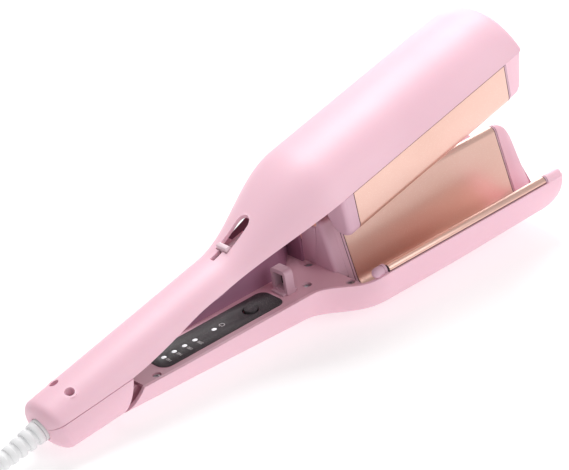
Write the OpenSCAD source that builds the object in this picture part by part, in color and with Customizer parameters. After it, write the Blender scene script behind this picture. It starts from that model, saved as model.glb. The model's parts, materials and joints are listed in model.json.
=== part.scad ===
// Hair waver with a three-ridge wave jaw, a sliding lock, a push button and a swivelling cord.
// Both arms are drawn closed on one parting plane (z = 0), then the upper arm is opened about the
// hinge pin and the whole tool is tilted to lie on a table. Lengths are millimetres.

/* [Arms] */
// Tail end to the root of the jaws
handle_len = 190; // [175:1:210]
// Width of the upper handle shell
handle_w = 37; // [35:0.5:40]
// Width of the lower handle shell
lower_handle_w = 34.6; // [33:0.1:36]
// Parting plane to the top of the handle
handle_top = 17; // [16:0.5:20]
// Depth of the lower handle at its tail end
handle_depth_tail = 13; // [12:0.5:15]
// Depth of the lower handle in front of the panel
handle_depth_front = 19; // [17:0.5:21]
// Wall of the moulded shells
wall = 2.2; // [1.8:0.1:2.6]
// Opening angle of the jaws
open_angle = 12.8; // [9:0.1:15]
// Tilt of the lower arm on the table
rest_tilt = 2.3; // [1.5:0.1:3.5]

/* [Jaws] */
// Length of the heat plates
plate_len = 114.8; // [100:0.1:130]
// Width of the lower jaw
jaw_w = 82; // [76:0.5:92]
// Depth of the lower jaw under the parting plane
jaw_depth = 25.4; // [24:0.2:30]
// Side of the lower jaw in to the side of the upper jaw's oval
upper_inset = 5.5; // [4.4:0.1:5.7]
// Parting plane to the top of the upper jaw
jaw_top = 37; // [36.6:0.2:42]
// Length of the jaw tip in front of the plates
tip_len = 13.5; // [12:0.5:18]

/* [Wave] */
// Height of the middle ridge
crest_z = 28.5; // [26:0.5:30]
// Radius of the middle ridge
crest_r = 3.2; // [3:0.1:4]
// Side of the lower jaw in to the bottom of each valley
valley_inset = 21; // [20:0.1:22]
// Depth of the valleys
valley_z = 12.9; // [11:0.1:14]
// Radius of the valleys
valley_r = 9; // [8:0.1:9.6]
// Side of the lower jaw in to the centre of each side lip
lip_inset = 3.4; // [3:0.1:4]
// Height of the side lips
lip_z = 9; // [8:0.1:10]
// Radius of the side lips
lip_r = 2.6; // [2.4:0.1:3]
// Gap between the closed plates
nest_gap = 1.2; // [1:0.1:1.5]
// Thickness of the heat plates
plate_t = 1.2; // [1:0.1:1.3]
// Thickness of the plate frames
frame_t = 1.5; // [1.2:0.1:1.6]
// Height of the seam between upper shell and upper plate
seam_z = 16.5; // [15:0.5:18]

/* [Hinge] */
// Tail end to the hinge pin
hinge_x = 25; // [24:0.5:28]
// Parting plane down to the hinge pin
hinge_drop = 1; // [0.6:0.1:1.6]
// Diameter of the hinge pin
pin_d = 4; // [3:0.1:4.4]
// Width of the hinge arm between the ears
hinge_arm_w = 16; // [14:0.5:17]
// Outer diameter of the hinge knuckle
knuckle_d = 9; // [8:0.1:9.4]
// Outer diameter of the hinge bushes
bush_d = 6.4; // [5.8:0.1:6.8]
// Flange thickness of the hinge bushes
bush_flange = 0.8; // [0.6:0.1:1]
// Wire diameter of the return spring
spring_wire = 1.2; // [1:0.1:1.4]
// Mean diameter of the return spring
spring_d = 8; // [7:0.1:9]

/* [Controls] */
// Width of the control panel
panel_w = 19.4; // [18:0.2:21]
// Length of the control panel
panel_len = 79; // [76:0.5:84]
// Thickness of the control panel
panel_t = 1.2; // [1:0.1:1.5]
// Diameter of the button
button_d = 7.7; // [6:0.1:9]
// Travel of the button
button_travel = 0.6; // [0.4:0.1:0.8]
// Diameter of the indicator lenses
lens_d = 2.8; // [2:0.1:3.2]
// Spacing of the level indicators
lens_pitch = 6.9; // [6:0.1:7.2]
// Width of the latch catch
catch_w = 12; // [11:0.5:13]
// Height of the latch catch above the inner cover
catch_h = 14; // [13:0.5:15]
// Travel of the lock slider
lock_travel = 6; // [5:0.5:7]
// Width of the finger recess of the lock
lock_w = 9; // [8:0.5:10]

/* [Cord] */
// Diameter of the mains lead
cord_d = 6.4; // [6:0.1:6.6]
// Largest diameter of the strain relief
relief_d = 12.6; // [12:0.1:13]
// Length of the strain relief outside the tail
relief_len = 40; // [36:0.5:41]
// Mean diameter of the stored coil
coil_d = 68; // [66:1:76]

/* [Hidden] */
$fn = 32;
seam_gap = 0.12;

PINK = [0.95, 0.76, 0.82];
DUSTY = [0.86, 0.68, 0.73];
GOLD = [0.90, 0.72, 0.62];
CHARCOAL = [0.20, 0.19, 0.20];
STEEL = [0.72, 0.73, 0.75];
WHITE = [0.95, 0.95, 0.95];
BRASS = [0.80, 0.68, 0.40];
GREEN = [0.15, 0.40, 0.28];

// ---- stations along and across the arms ----
upper_jaw_w = jaw_w - 2*upper_inset;
valley_y = jaw_w/2 - valley_inset;
lip_y = jaw_w/2 - lip_inset;
catch_x = handle_len - 32.5;
panel_gap = 4.5;
panel_end = catch_x - panel_gap;
panel_x0 = panel_end - panel_len - 3;
plate_x0 = handle_len + 10;
plate_x1 = plate_x0 + plate_len;
wall_x = plate_x1 + 1.2;
lower_tip_x = plate_x1 + tip_len;
upper_tip_x = lower_tip_x + 2.4;
flare_x0 = plate_x0 - 34;
flare_x1 = plate_x0;
upper_flare_x0 = handle_len - 65;
upper_flare_x1 = handle_len + 5;
tail_round = 7;
tail_x0 = 0.5;
seam_turn_x = 50;
cord_z = 4;
oval_n = 2.15;
M = 28;

function clamp01(t) = min(1, max(0, t));
function smooth(x, a, b) = let(t = clamp01((x - a)/(b - a))) t*t*(3 - 2*t);
function mix(a, b, t) = a + (b - a)*t;
function flat(rings) = [for (r = rings) for (p = r) p];

// ---- the wave: arcs about three centres joined by their common tangents ----
crest_c = [0, crest_z - crest_r];
valley_c = [valley_y, valley_r - valley_z];
lip_c = [lip_y, lip_z - lip_r];
function dir(p) = atan2(p[1], p[0]);
flank_a = dir(valley_c - crest_c) + acos((crest_r + valley_r)/norm(valley_c - crest_c));
lip_a = 360 + dir(valley_c - lip_c) - acos((lip_r + valley_r)/norm(lip_c - valley_c));
SEAM_DROP = -18;
seam_y = wave_oval(seam_z/jaw_top)*upper_jaw_w/2;
lobe_r = valley_r - nest_gap;
seam_p = [seam_y, seam_z];
lobe_a = dir(seam_p - valley_c) - acos(lobe_r/norm(seam_p - valley_c));

function wave_oval(s) = pow(1 - pow(clamp01(abs(s)), oval_n), 1/oval_n);
function on(c, r, a) = c + r*[cos(a), sin(a)];
// Right half of the lower wave, raised by d: crest, valley and lip
function crest_pts(d, k) = [for (i = [0:k]) on(crest_c, crest_r + d, mix(90, flank_a, i/k))];
function valley_pts(d, k) =
    [for (i = [0:k]) on(valley_c, valley_r - d, mix(flank_a + 180, lip_a + 180, i/k))];
function lip_pts(d, k) = [for (i = [0:k]) on(lip_c, lip_r + d, mix(lip_a, SEAM_DROP, i/k))];
function lip_top(k) = [for (i = [0:k]) on(lip_c, lip_r, mix(lip_a, 0, i/k))];
function wave_half(d, k) = concat(crest_pts(d, k), valley_pts(d, k), lip_pts(d, k));
// Right half of the upper wave, lifted by d into the arm: groove, lobe and seam
function groove_pts(d, k) =
    [for (i = [0:k]) on(crest_c, crest_r + nest_gap + d, mix(90, flank_a, i/k))];
function lobe_pts(d, k) =
    [for (i = [0:k]) on(valley_c, lobe_r - d, mix(flank_a + 180, lobe_a + 360, i/k))];
function seam_end(d) = let(t = on(valley_c, lobe_r - d, lobe_a), u = [-sin(lobe_a), cos(lobe_a)])
    t + u*((seam_z - seam_gap - t[1])/u[1]);
function upper_half(d, k) = concat(groove_pts(d, k), lobe_pts(d, k), [seam_end(d)]);
function mirror_y(pts) = [for (i = [len(pts) - 1:-1:0]) [-pts[i][0], pts[i][1]]];
function whole(half) = concat(mirror_y(half), [for (i = [1:len(half) - 1]) half[i]]);

// ---- moulded shells: outer and inner rings joined into one closed skin ----
// tail: "shut" by a wall or "open" on its edge; tip: "open" or "solid" up to the wave line
module shell_skin(outer, inner, tail, tip) {
    n = len(outer) - 1;
    m = len(outer[0]) - 1;
    count = (n + 1)*(m + 1);
    function o(i, j) = i*(m + 1) + j;
    function q(i, j) = count + o(i, j);
    skin = [for (i = [0:n - 1]) for (j = [0:m - 1])
        each [[o(i, j), o(i + 1, j), o(i + 1, j + 1)], [o(i, j), o(i + 1, j + 1), o(i, j + 1)],
            [q(i, j), q(i, j + 1), q(i + 1, j + 1)], [q(i, j), q(i + 1, j + 1), q(i + 1, j)]]];
    rims = [for (i = [0:n - 1])
        each [[o(i + 1, 0), o(i, 0), q(i, 0)], [o(i + 1, 0), q(i, 0), q(i + 1, 0)],
            [o(i, m), o(i + 1, m), q(i + 1, m)], [o(i, m), q(i + 1, m), q(i, m)]]];
    shut = [[for (j = [0:m]) o(0, j)], [for (j = [m:-1:0]) q(0, j)],
        [o(0, 0), o(0, m), q(0, m), q(0, 0)]];
    tail_edge = [for (j = [0:m - 1])
        each [[q(0, j), o(0, j), o(0, j + 1)], [q(0, j), o(0, j + 1), q(0, j + 1)]]];
    tip_edge = [for (j = [0:m - 1])
        each [[o(n, j), q(n, j), q(n, j + 1)], [o(n, j), q(n, j + 1), o(n, j + 1)]]];
    tip_face = [concat([for (j = [m:-1:0]) o(n, j)], [for (j = [0:m]) q(n, j)])];
    polyhedron(concat(flat(outer), flat(inner)), concat(skin, rims,
        tail == "shut" ? shut : tail_edge, tip == "solid" ? tip_face : tip_edge), convexity = 8);
}
function oval_pt(a, w, top, bot) = [w*sign(cos(a))*pow(abs(cos(a)), 2/oval_n),
    (sin(a) >= 0 ? top : -bot)*pow(abs(sin(a)), 2/oval_n)];
function rim_angle(z, top) = asin(pow(max(z, 0)/top, oval_n/2));

// ---- frames of reference: the lower arm on the table, the upper arm opened on its hinge ----
arm_offset = 1.3;
ear_x = hinge_x + arm_offset;
origin_x = 143.5;
floor_lift = 16.9;
lower_tilt = rest_tilt;
upper_tilt = rest_tilt + open_angle;
module lower() {
    translate([-origin_x, 0, floor_lift]) rotate([0, -lower_tilt, 0]) children();
}
module upper() {
    lower() translate([hinge_x, 0, -hinge_drop]) rotate([0, -open_angle, 0])
        translate([-ear_x, 0, hinge_drop]) children();
}
function turned(p, a) = [p[0]*cos(a) - p[2]*sin(a), p[1], p[0]*sin(a) + p[2]*cos(a)];
function world_of(p) = let(q = turned(p - [ear_x, 0, -hinge_drop], open_angle))
    turned(q + [hinge_x, 0, -hinge_drop], lower_tilt) + [-origin_x, 0, floor_lift];

// ---- upper shell ----
function tail_k(x) = let(u = clamp01((tail_round - x)/tail_round)) pow(1 - pow(u, 2.5), 0.4);
function upper_s(x) = smooth(x, upper_flare_x0, upper_flare_x1);
function tip_u(x) = clamp01((x - wall_x)/(upper_tip_x - wall_x));
function upper_w(x) = mix(handle_w/2, upper_jaw_w/2, upper_s(x))*(1 - 0.10*pow(tip_u(x), 5));
function upper_top(x) = mix(handle_top, jaw_top, upper_s(x))*(1 - 0.06*pow(tip_u(x), 5));
function handle_rim(x) = 3.2 + 2*(1 - smooth(x, seam_turn_x, seam_turn_x + 45))
    + 0.09*max(0, seam_turn_x - x);
function upper_rim(x) = x > wall_x ? max(seam_z, upper_clip(x))
    : mix(handle_rim(x), seam_z, upper_s(x));
function about_cord(z, k) = cord_z + (z - cord_z)*k;
function upper_ring(x) = let(k = tail_k(x), w = upper_w(x), top = upper_top(x),
    a = rim_angle(upper_rim(x), top))
    [for (j = [0:M]) let(p = oval_pt(mix(a, 180 - a, j/M), w, top, top))
        [x, p[0]*k, about_cord(p[1], k)]];
// Columns of the wave line, from +y to -y, and the hollow above them
upper_line = [for (p = whole(upper_half(0, 6))) [-p[0], p[1]]];
upper_cols = [for (p = upper_line) p[0]/seam_y];
function upper_hollow(x, xo, shell) = let(k = tail_k(xo), w = upper_w(xo) - shell,
    top = upper_top(xo) - shell, rim = upper_rim(xo), rim_y = w*wave_oval(rim/top))
    [for (c = upper_cols) let(y = rim_y*c)
        [x, y*k, about_cord(max(rim, top*wave_oval(y/w)), k)]];
function upper_clip(x) = mix(-valley_z, crest_z - 4, pow(tip_u(x), 0.78));
rim_land = 0.4;
tip_sag = 0.6;
function upper_tip_line(x) = let(last = len(upper_line) - 1,
    f = (upper_w(x)*wave_oval(upper_rim(x)/upper_top(x)) - rim_land)/seam_y)
    [for (i = [0:last]) let(y = upper_line[i][0]*f) [x, y, i == 0 || i == last ? upper_rim(x)
        : min(upper_top(x)*wave_oval(y/upper_w(x)) - 1.6, max(upper_line[i][1],
            upper_clip(x) - tip_sag*(1 - pow(y/(seam_y*f), 2))))]];
// Stations from the tail end, then stations from the jaws' root back
upper_stations = concat([0.5, 1.2, 2.6, 4.6, 7, 28, 50, 72, 95],
    [for (back = [65, 53, 42, 31, 20, 9, 0, -5, -15, -50, -90]) handle_len - back]);
tip_steps = [0.1, 0.3, 0.5, 0.7, 0.86, 1];
lower_tip_steps = [0.12, 0.36, 0.6, 0.76, 0.9, 1];

module upper_shell_body() {
    outer = concat([for (x = upper_stations) upper_ring(x)],
        [upper_ring(wall_x - seam_gap), upper_ring(wall_x)],
        [for (s = tip_steps) upper_ring(mix(wall_x, upper_tip_x, s))]);
    inner = concat([for (x = upper_stations)
            let(xi = max(x, tail_x0 + wall), xo = max(x, 3.2)) upper_hollow(mix(xi, x, x > 9 ? 1 : 0)
                + (x < 9 ? x*0.2 : 0), xo, wall)],
        [upper_hollow(wall_x - seam_gap, wall_x, wall), upper_tip_line(wall_x)],
        [for (s = tip_steps) upper_tip_line(mix(wall_x, upper_tip_x, s))]);
    shell_skin(outer, inner, "shut", "open");
}
// posts and wells inside the upper shell
screw_x = 20.5;
screw_y = 6.6;
well_d = 5.3;
tube_d = 8;
thread_d = 2.6;
bracket_top = 8.2;
well_floor = 9.8;
roof_in = 1;
module at_tail_screws() {
    for (s = [-1, 1]) translate([screw_x, s*screw_y, 0]) children();
}
cover_top = 8.6;
cover_t = 1.6;
post_d = 6;
post_x0 = 64;
post_y = 12;
post_back = 8;
mid_post_back = 78;
upper_posts = [[post_x0, 0], [handle_len - mid_post_back, 0], [handle_len - post_back, post_y],
    [handle_len - post_back, -post_y]];
module at_upper_posts() {
    for (p = upper_posts) translate([p[0], p[1], 0]) children();
}
lock_x0 = handle_len - 57;
lock_x1 = handle_len - 35;
lock_slot_w = 3;
lock_slot_x = lock_x0 - 7;
module lock_cut() {
    // finger recess with a round front end and a narrow tail
    translate([lock_x0, -lock_w/2, 12]) cube([lock_x1 - lock_w/2 - lock_x0, lock_w, 30]);
    translate([lock_x1 - lock_w/2, 0, 12]) cylinder(d = lock_w, h = 30);
    translate([lock_slot_x, -lock_slot_w/2, 12]) cube([lock_x0 - lock_slot_x + 1, lock_slot_w, 30]);
}
mouth_d = relief_d + 0.8;
module upper_shell() color(PINK) upper() difference() {
    union() {
        upper_shell_body();
        at_tail_screws() translate([0, 0, bracket_top]) cylinder(d = tube_d, h = handle_top
            - bracket_top - wall/2 - 1);
        for (p = upper_posts) translate([p[0], p[1], cover_top])
            cylinder(d = post_d, h = upper_top(p[0])*wave_oval(abs(p[1])/upper_w(p[0])) - cover_top
                - wall/2);
    }
    at_tail_screws() translate([0, 0, well_floor]) cylinder(d = well_d, h = 20);
    at_tail_screws() translate([0, 0, bracket_top - 1]) cylinder(d = thread_d, h = 4);
    at_upper_posts() translate([0, 0, cover_top - 1]) cylinder(d = thread_d, h = 7);
    lock_cut();
    translate([-1, 0, cord_z]) rotate([0, 90, 0]) cylinder(d = mouth_d, h = wall + 4);
}

// ---- tail cover ----
cover_len = 50;
cover_lean = 0.62;
cover_slope = tan(open_angle);
function cover_bot(x) = hinge_drop + (x - ear_x)*cover_slope
    + (handle_depth_tail + 0.6 - hinge_drop)/cos(open_angle);
function cover_ring(x, shell) = let(k = tail_k(x), w = handle_w/2 - shell, top = handle_top - shell,
    rim = handle_rim(x) - seam_gap, a = rim_angle(rim, top), lean = cover_lean*smooth(x, 20, cover_len),
    bot = (cover_bot(x) - cover_slope*lean*rim)/(1 + cover_slope*lean) - shell)
    [for (j = [0:M]) let(p = oval_pt(mix(180 - a, 360 + a, j/M), w, top, bot), z = p[1])
        [x + lean*(z - rim), p[0]*k, about_cord(z, k)]];
cover_x = [0.5, 1.2, 2.6, 4.6, 7, 18, 30, 36, 43, 50];
module tail_cover_body() {
    outer = [for (x = cover_x) cover_ring(x, 0)];
    inner = [for (x = cover_x) let(xs = x < 9 ? tail_x0 + wall + x*0.2 : x)
        [for (p = cover_ring(max(x, 3.2), wall)) [p[0] - max(x, 3.2) + xs, p[1], p[2]]]];
    shell_skin(outer, inner, "shut", "open");
}
module tail_cover() color(PINK) upper() difference() {
    tail_cover_body();
    translate([-1, 0, cord_z]) rotate([0, 90, 0]) cylinder(d = mouth_d, h = wall + 4);
}

// ---- lower shell ----
function lower_s(x) = smooth(x, flare_x0, flare_x1);
function ltip_u(x) = clamp01((x - wall_x)/(lower_tip_x - wall_x));
function lower_w(x) = mix(lower_handle_w/2 - 0.6*(1 - smooth(x, 40, 90)), jaw_w/2, lower_s(x))
    *(1 - 0.12*pow(ltip_u(x), 4));
function lower_rim(x) = mix(1.2, 5.5, lower_s(x));
function lower_bot(x) = lower_rim(x) + mix(mix(handle_depth_tail, handle_depth_front,
    clamp01((x - 40)/120)), jaw_depth, smooth(x, handle_len - 30, handle_len + 17))
    *(1 - 0.07*smooth(x, handle_len + 55, wall_x))*(1 - 0.62*pow(ltip_u(x), 2.2));
lower_x0 = 53;
lean_x1 = lower_x0 + 42;
function lower_lean(x) = 0.85*(1 - smooth(x, lower_x0, lean_x1));
function lower_pt(x, y, z) = [x + lower_lean(x)*z, y, lower_rim(x) + z];
function lower_ring(x) = [for (j = [0:M])
    let(p = oval_pt(mix(180, 360, j/M), lower_w(x), 1, lower_bot(x))) lower_pt(x, p[0], p[1])];
lower_line = whole(concat(crest_pts(0, 4), valley_pts(0, 4), lip_top(4)));
lower_cols = [for (p = lower_line) p[0]/lower_line[M][0]];
function lower_hollow(x) = let(w = lower_w(x) - wall, bot = lower_bot(x) - wall)
    [for (c = lower_cols) let(y = w*max(-1, min(1, c)))
        lower_pt(x, y, -bot*wave_oval(y/w))];
function lower_clip(x) = crest_z + 0.3 - (crest_z - 4)*pow(ltip_u(x), 2.6);
function lower_tip_line(x) = let(f = lower_w(x)/(jaw_w/2))
    [for (p = lower_line) [x, p[0]*f, max(lower_rim(x) + 1.4
        - lower_bot(x)*wave_oval(p[0]*f/lower_w(x)), min(p[1], lower_clip(x)))]];
lower_stations = concat([lower_x0, 62, 75, lean_x1, 125],
    [for (back = [33, 26, 20, 14, 8, 2, -4, -10, -16, -26, -55, -95]) handle_len - back]);
module lower_shell_body() {
    outer = concat([for (x = lower_stations) lower_ring(x)], [lower_ring(wall_x - seam_gap)],
        [lower_ring(wall_x)],
        [for (s = lower_tip_steps) lower_ring(mix(wall_x, lower_tip_x, s))]);
    inner = concat([for (x = lower_stations) lower_hollow(x)],
        [lower_hollow(wall_x - seam_gap), lower_tip_line(wall_x)],
        [for (s = lower_tip_steps) lower_tip_line(mix(wall_x, lower_tip_x, s))]);
    shell_skin(outer, inner, "open", "solid");
}
module lower_shell() color(PINK) difference() {
    lower() lower_shell_body();
    // small flat that the tool rests on
    translate([0, -jaw_w/2, -5]) cube([lower_tip_x - origin_x, jaw_w, 5]);
}

// ---- hinge ----
ear_gap = 0.4;
ear_t = 2.4;
ear_y = hinge_arm_w/2 + bush_flange + ear_gap;
ear_d = 11;
bracket_t = 2.2;
bracket_len = 20;
pin_len = 2*(ear_y + ear_t) + 3;
pin_head = 1.2;
run_fit = 0.05;
module hinge_bracket() color(STEEL) upper() difference() {
    union() {
        translate([ear_x - bracket_len + 5.5, -ear_y - ear_t, bracket_top - bracket_t])
            cube([bracket_len, 2*(ear_y + ear_t), bracket_t]);
        for (s = [0, 1]) mirror([0, s, 0]) {
            translate([ear_x, ear_y + ear_t, -hinge_drop]) rotate([90, 0, 0])
                cylinder(d = ear_d, h = ear_t);
            translate([ear_x - ear_d/2, ear_y, -hinge_drop])
                cube([ear_d, ear_t, bracket_top - bracket_t/2 + hinge_drop]);
        }
    }
    translate([ear_x, 20, -hinge_drop]) rotate([90, 0, 0]) cylinder(d = pin_d, h = 40);
    at_tail_screws() cylinder(d = thread_d - 0.1, h = 20);
}
module tail_screws() color(STEEL) upper() at_tail_screws() difference() {
    union() {
        translate([0, 0, well_floor]) cylinder(d = well_d - 0.5, h = 1.9);
        translate([0, 0, bracket_top - bracket_t - 1]) cylinder(d = thread_d - 0.1, h = 4);
    }
    for (a = [0, 90]) rotate([0, 0, a]) translate([-1.5, -0.35, well_floor + 0.9]) cube([3, 0.7, 2]);
}
module hinge_pin() color(STEEL) upper() translate([ear_x, 0, -hinge_drop]) rotate([90, 0, 0])
    difference() {
        union() {
            translate([0, 0, -pin_len/2]) cylinder(d = pin_d, h = pin_len);
            translate([0, 0, ear_y + ear_t]) cylinder(d = pin_d + 2.4, h = pin_head);
        }
        translate([0, 0, -ear_y - ear_t - 0.8]) difference() {
            cylinder(d = pin_d + 2, h = 0.7);
            translate([0, 0, -1]) cylinder(d = pin_d - 0.8, h = 3);
        }
    }
module pin_clip() color(STEEL) upper() translate([ear_x, ear_y + ear_t + 0.75, -hinge_drop])
    rotate([90, 0, 0]) difference() {
        cylinder(d = pin_d + 3, h = 0.6);
        translate([0, 0, -1]) cylinder(d = pin_d - 0.8, h = 3);
        translate([0, -(pin_d - 1.2)/2, -1]) cube([8, pin_d - 1.2, 3]);
    }
arm_x1 = panel_x0 - 2;
arm_top = -2;
arm_low = -9;
boss_d = 6;
boss_x = arm_x1 - 10;
boss_low = -7;
boss_out = 1;
bush_clear = 8;
module hinge_arm() color(DUSTY) lower() difference() {
    union() {
        translate([hinge_x, hinge_arm_w/2, -hinge_drop]) rotate([90, 0, 0])
            cylinder(d = knuckle_d, h = hinge_arm_w);
        translate([hinge_x, -hinge_arm_w/2, -hinge_drop - knuckle_d/2])
            cube([lower_x0 + 1 - hinge_x, hinge_arm_w, knuckle_d/2]);
        translate([hinge_x + bush_clear, -hinge_arm_w/2, arm_low])
            cube([arm_x1 - hinge_x - bush_clear, hinge_arm_w, arm_top - arm_low]);
        for (s = [-1, 1]) translate([boss_x, s*(hinge_arm_w/2 + boss_out), boss_low])
            cylinder(d = boss_d, h = arm_top - boss_low);
    }
    translate([hinge_x, hinge_arm_w, -hinge_drop]) rotate([90, 0, 0])
        cylinder(d = bush_d, h = 2*hinge_arm_w);
}
module hinge_bushes() color(BRASS) lower() for (s = [0, 1]) mirror([0, s, 0])
    translate([hinge_x, hinge_arm_w/2 + bush_flange, -hinge_drop]) rotate([90, 0, 0]) difference() {
        union() {
            cylinder(d = knuckle_d - 0.6, h = bush_flange);
            cylinder(d = bush_d, h = bush_flange + 6);
        }
        translate([0, 0, -1]) cylinder(d = pin_d + 2*run_fit, h = 12);
    }
spring_x = ear_x + 12.5;
spring_turns = 6;
spring_top = handle_top - wall - 0.35;
spring_foot = -2.9;
spring_steps = 12;
function spring_ring(i) = let(a = 360*i/spring_steps, h = (spring_top - spring_foot - spring_wire)
        *i/(spring_steps*spring_turns) + spring_foot + spring_wire/2)
    [for (j = [0:5]) let(r = spring_d/2 + spring_wire/2*cos(60*j))
        [spring_x + r*cos(a), r*sin(a), h + spring_wire/2*sin(60*j)]];
// A bent rod: rings of equal size joined in order, with flat ends
module rod(rings) {
    n = len(rings) - 1;
    m = len(rings[0]);
    function o(i, j) = i*m + (j % m);
    polyhedron(flat(rings), concat([[for (j = [m - 1:-1:0]) o(0, j)]], [[for (j = [0:m - 1]) o(n, j)]],
        [for (i = [0:n - 1]) for (j = [0:m - 1])
            each [[o(i, j), o(i + 1, j + 1), o(i + 1, j)], [o(i, j), o(i, j + 1), o(i + 1, j + 1)]]]));
}
module return_spring() color(STEEL) upper()
    rod([for (i = [0:spring_steps*spring_turns]) spring_ring(i)]);

// ---- upper jaw ----
function rise_w(x, z) = let(w = upper_w(x) - wall, top = upper_top(x) - wall)
    w*wave_oval(z/top) - 0.25;
upper_cover_x0 = 52;
upper_cover_x1 = handle_len - 2;
cover_steps = 17;
function cover_x_at(i) = mix(upper_cover_x0, upper_cover_x1, i/cover_steps);
hatch_x0 = lock_x0 + 9;
hatch_x1 = handle_len - 19;
hatch_w = 14;
module upper_inner_cover() color(DUSTY) upper() difference() {
    translate([0, 0, cover_top - cover_t]) linear_extrude(cover_t)
        polygon(concat([for (i = [0:cover_steps]) [cover_x_at(i), rise_w(cover_x_at(i), cover_top)]],
            [for (i = [cover_steps:-1:0]) [cover_x_at(i), -rise_w(cover_x_at(i), cover_top)]]));
    translate([hatch_x0, -hatch_w/2, 0]) cube([hatch_x1 - hatch_x0, hatch_w, 20]);
    at_upper_posts() cylinder(d = thread_d, h = 20);
}
module cover_screw() {
    cylinder(d = 4.6, h = 1.4);
    cylinder(d = thread_d - 0.1, h = 8);
}
module upper_cover_screws() color(STEEL) upper()
    at_upper_posts() translate([0, 0, cover_top - cover_t - 1.4]) cover_screw();
frame_x0 = plate_x0 - 8;
frame_x1 = wall_x - 0.2;
module along_jaw(x0, x1) translate([x0, 0, 0]) rotate([90, 0, 90]) linear_extrude(x1 - x0) children();
// A sheet between two offsets of the upper wave
module upper_sheet(d0, d1, k) polygon(concat(whole(upper_half(d0, k)),
    [for (p = mirror_y(whole(upper_half(d1, k)))) [-p[0], p[1]]]));
heater_w = 9;
heater_cut_x0 = plate_x0 + 12;
heater_cut_x1 = plate_x1 - 12;
function lobe_plug(d, z) = let(u = [-sin(flank_a), cos(flank_a)], p = on(valley_c, lobe_r - d, flank_a
    + 180), q = p + u*((z - p[1])/u[1]), r = seam_end(d), t = on(valley_c, lobe_r - d, lobe_a),
    e = t + (r - t)*((z - t[1])/(r[1] - t[1]))) concat([q], lobe_pts(d, 8), [e]);
module upper_jaw_frame() color(DUSTY) upper() {
    difference() {
        along_jaw(plate_x0, frame_x1) upper_sheet(plate_t, plate_t + frame_t, 10);
        for (s = [-1, 1]) translate([heater_cut_x0, s*valley_y - heater_w/2, -20])
            cube([heater_cut_x1 - heater_cut_x0, heater_w, 14]);
    }
    along_jaw(frame_x0 + 2, plate_x0) upper_sheet(0, plate_t + frame_t, 8);
    for (s = [0, 1]) mirror([0, s, 0]) {
        along_jaw(frame_x0, frame_x0 + 2.5) polygon(lobe_plug(1, cover_top - cover_t));
        along_jaw(plate_x1, frame_x1) polygon(lobe_pts(0.02, 8));
    }
}
module upper_heat_plate() color(GOLD) upper()
    along_jaw(plate_x0, plate_x1) upper_sheet(0, plate_t, 10);
heater_a = asin((heater_w/2 - 0.15)/(lobe_r - plate_t));
heater_h = 3.4;
module upper_heaters() color([0.85, 0.85, 0.82]) upper() for (s = [-1, 1])
    along_jaw(heater_cut_x0 + 2, heater_cut_x1 - 2) translate([s*valley_y, 0])
        polygon(concat([for (i = [-4:4]) let(a = 270 + heater_a*i/4)
            [0, valley_c[1]] + (lobe_r - plate_t - 0.08)*[cos(a), sin(a)]],
            [[heater_w/2 - 0.15, valley_c[1] - lobe_r + plate_t + heater_h],
            [0.15 - heater_w/2, valley_c[1] - lobe_r + plate_t + heater_h]]));
sensor_d = 3.4;
sensor_x = plate_x0 + 40;
sensor_len = 12;
module upper_sensor() color([0.9, 0.88, 0.8]) upper()
    translate([sensor_x, valley_y, valley_c[1] - lobe_r + plate_t + heater_h + sensor_d/2])
        rotate([0, 90, 0]) cylinder(d = sensor_d, h = sensor_len);

// ---- lock ----
guide_z = 12.2;
slider_t = 1.6;
slider_w = 9.6;
slide_gap = 0.25;
slider_x0 = lock_x0 - 9;
slider_len = 27;
hook_x = slider_x0 + slider_len - 3;
rail_len = slider_len + 4;
module lock_guide() color(DUSTY) upper() {
    // two rails on the inner cover with ledges under the slider
    for (s = [0, 1]) mirror([0, s, 0]) {
        translate([slider_x0 - 2, slider_w/2 + slide_gap, cover_top])
            cube([rail_len, 2, guide_z + 0.9 - cover_top]);
        translate([slider_x0 - 2, slider_w/2 - 1.2, cover_top])
            cube([rail_len, 2.5, guide_z - slide_gap - cover_top]);
    }
}
module lock_slider() color(DUSTY) upper() {
    translate([slider_x0, -slider_w/2, guide_z]) cube([slider_len, slider_w, slider_t]);
    translate([lock_x0 + 0.6, -lock_w/2 + 0.6, guide_z]) cube([3.4, lock_w - 1.2, 7.6]);
    translate([hook_x, -3, 6.2]) cube([3, 6, guide_z - 6.2 + slider_t]);
    translate([hook_x, -3, 6.2]) cube([8.4, 6, 3]);
}

// ---- cord side ----
relief_in = 0.6;
flange_x = 0.5 + wall + 0.25;
module strain_relief() color(WHITE) upper() translate([0, 0, cord_z]) rotate([0, 90, 0]) difference() {
    union() {
        translate([0, 0, flange_x]) cylinder(d = relief_d + 3.4, h = 2.2);
        translate([0, 0, -1]) cylinder(d = relief_d, h = flange_x + 1.5);
        translate([0, 0, -relief_len]) cylinder(d1 = cord_d + 1.6, d2 = relief_d - 3, h = relief_len);
        for (i = [0:6]) translate([0, 0, -relief_len + 0.4 + i*5.8])
            cylinder(d1 = mix(cord_d + 2, relief_d, i/6) - 0.5, d2 = mix(cord_d + 2, relief_d, i/6),
                h = 3.6);
    }
    translate([0, 0, -relief_len - 1]) cylinder(d = cord_d + 0.5, h = relief_len + 10);
}
clamp_x = flange_x + 2.5;
clamp_t = 4;
clamp_z0 = -1.6;
clamp_w = 27.2;
module cord_clamp() color(WHITE) upper() difference() {
    translate([clamp_x, -clamp_w/2, clamp_z0]) cube([clamp_t, clamp_w, 8.5 - clamp_z0]);
    translate([clamp_x - 1, 0, cord_z]) rotate([0, 90, 0]) cylinder(d = cord_d, h = clamp_t + 2);
}
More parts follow.
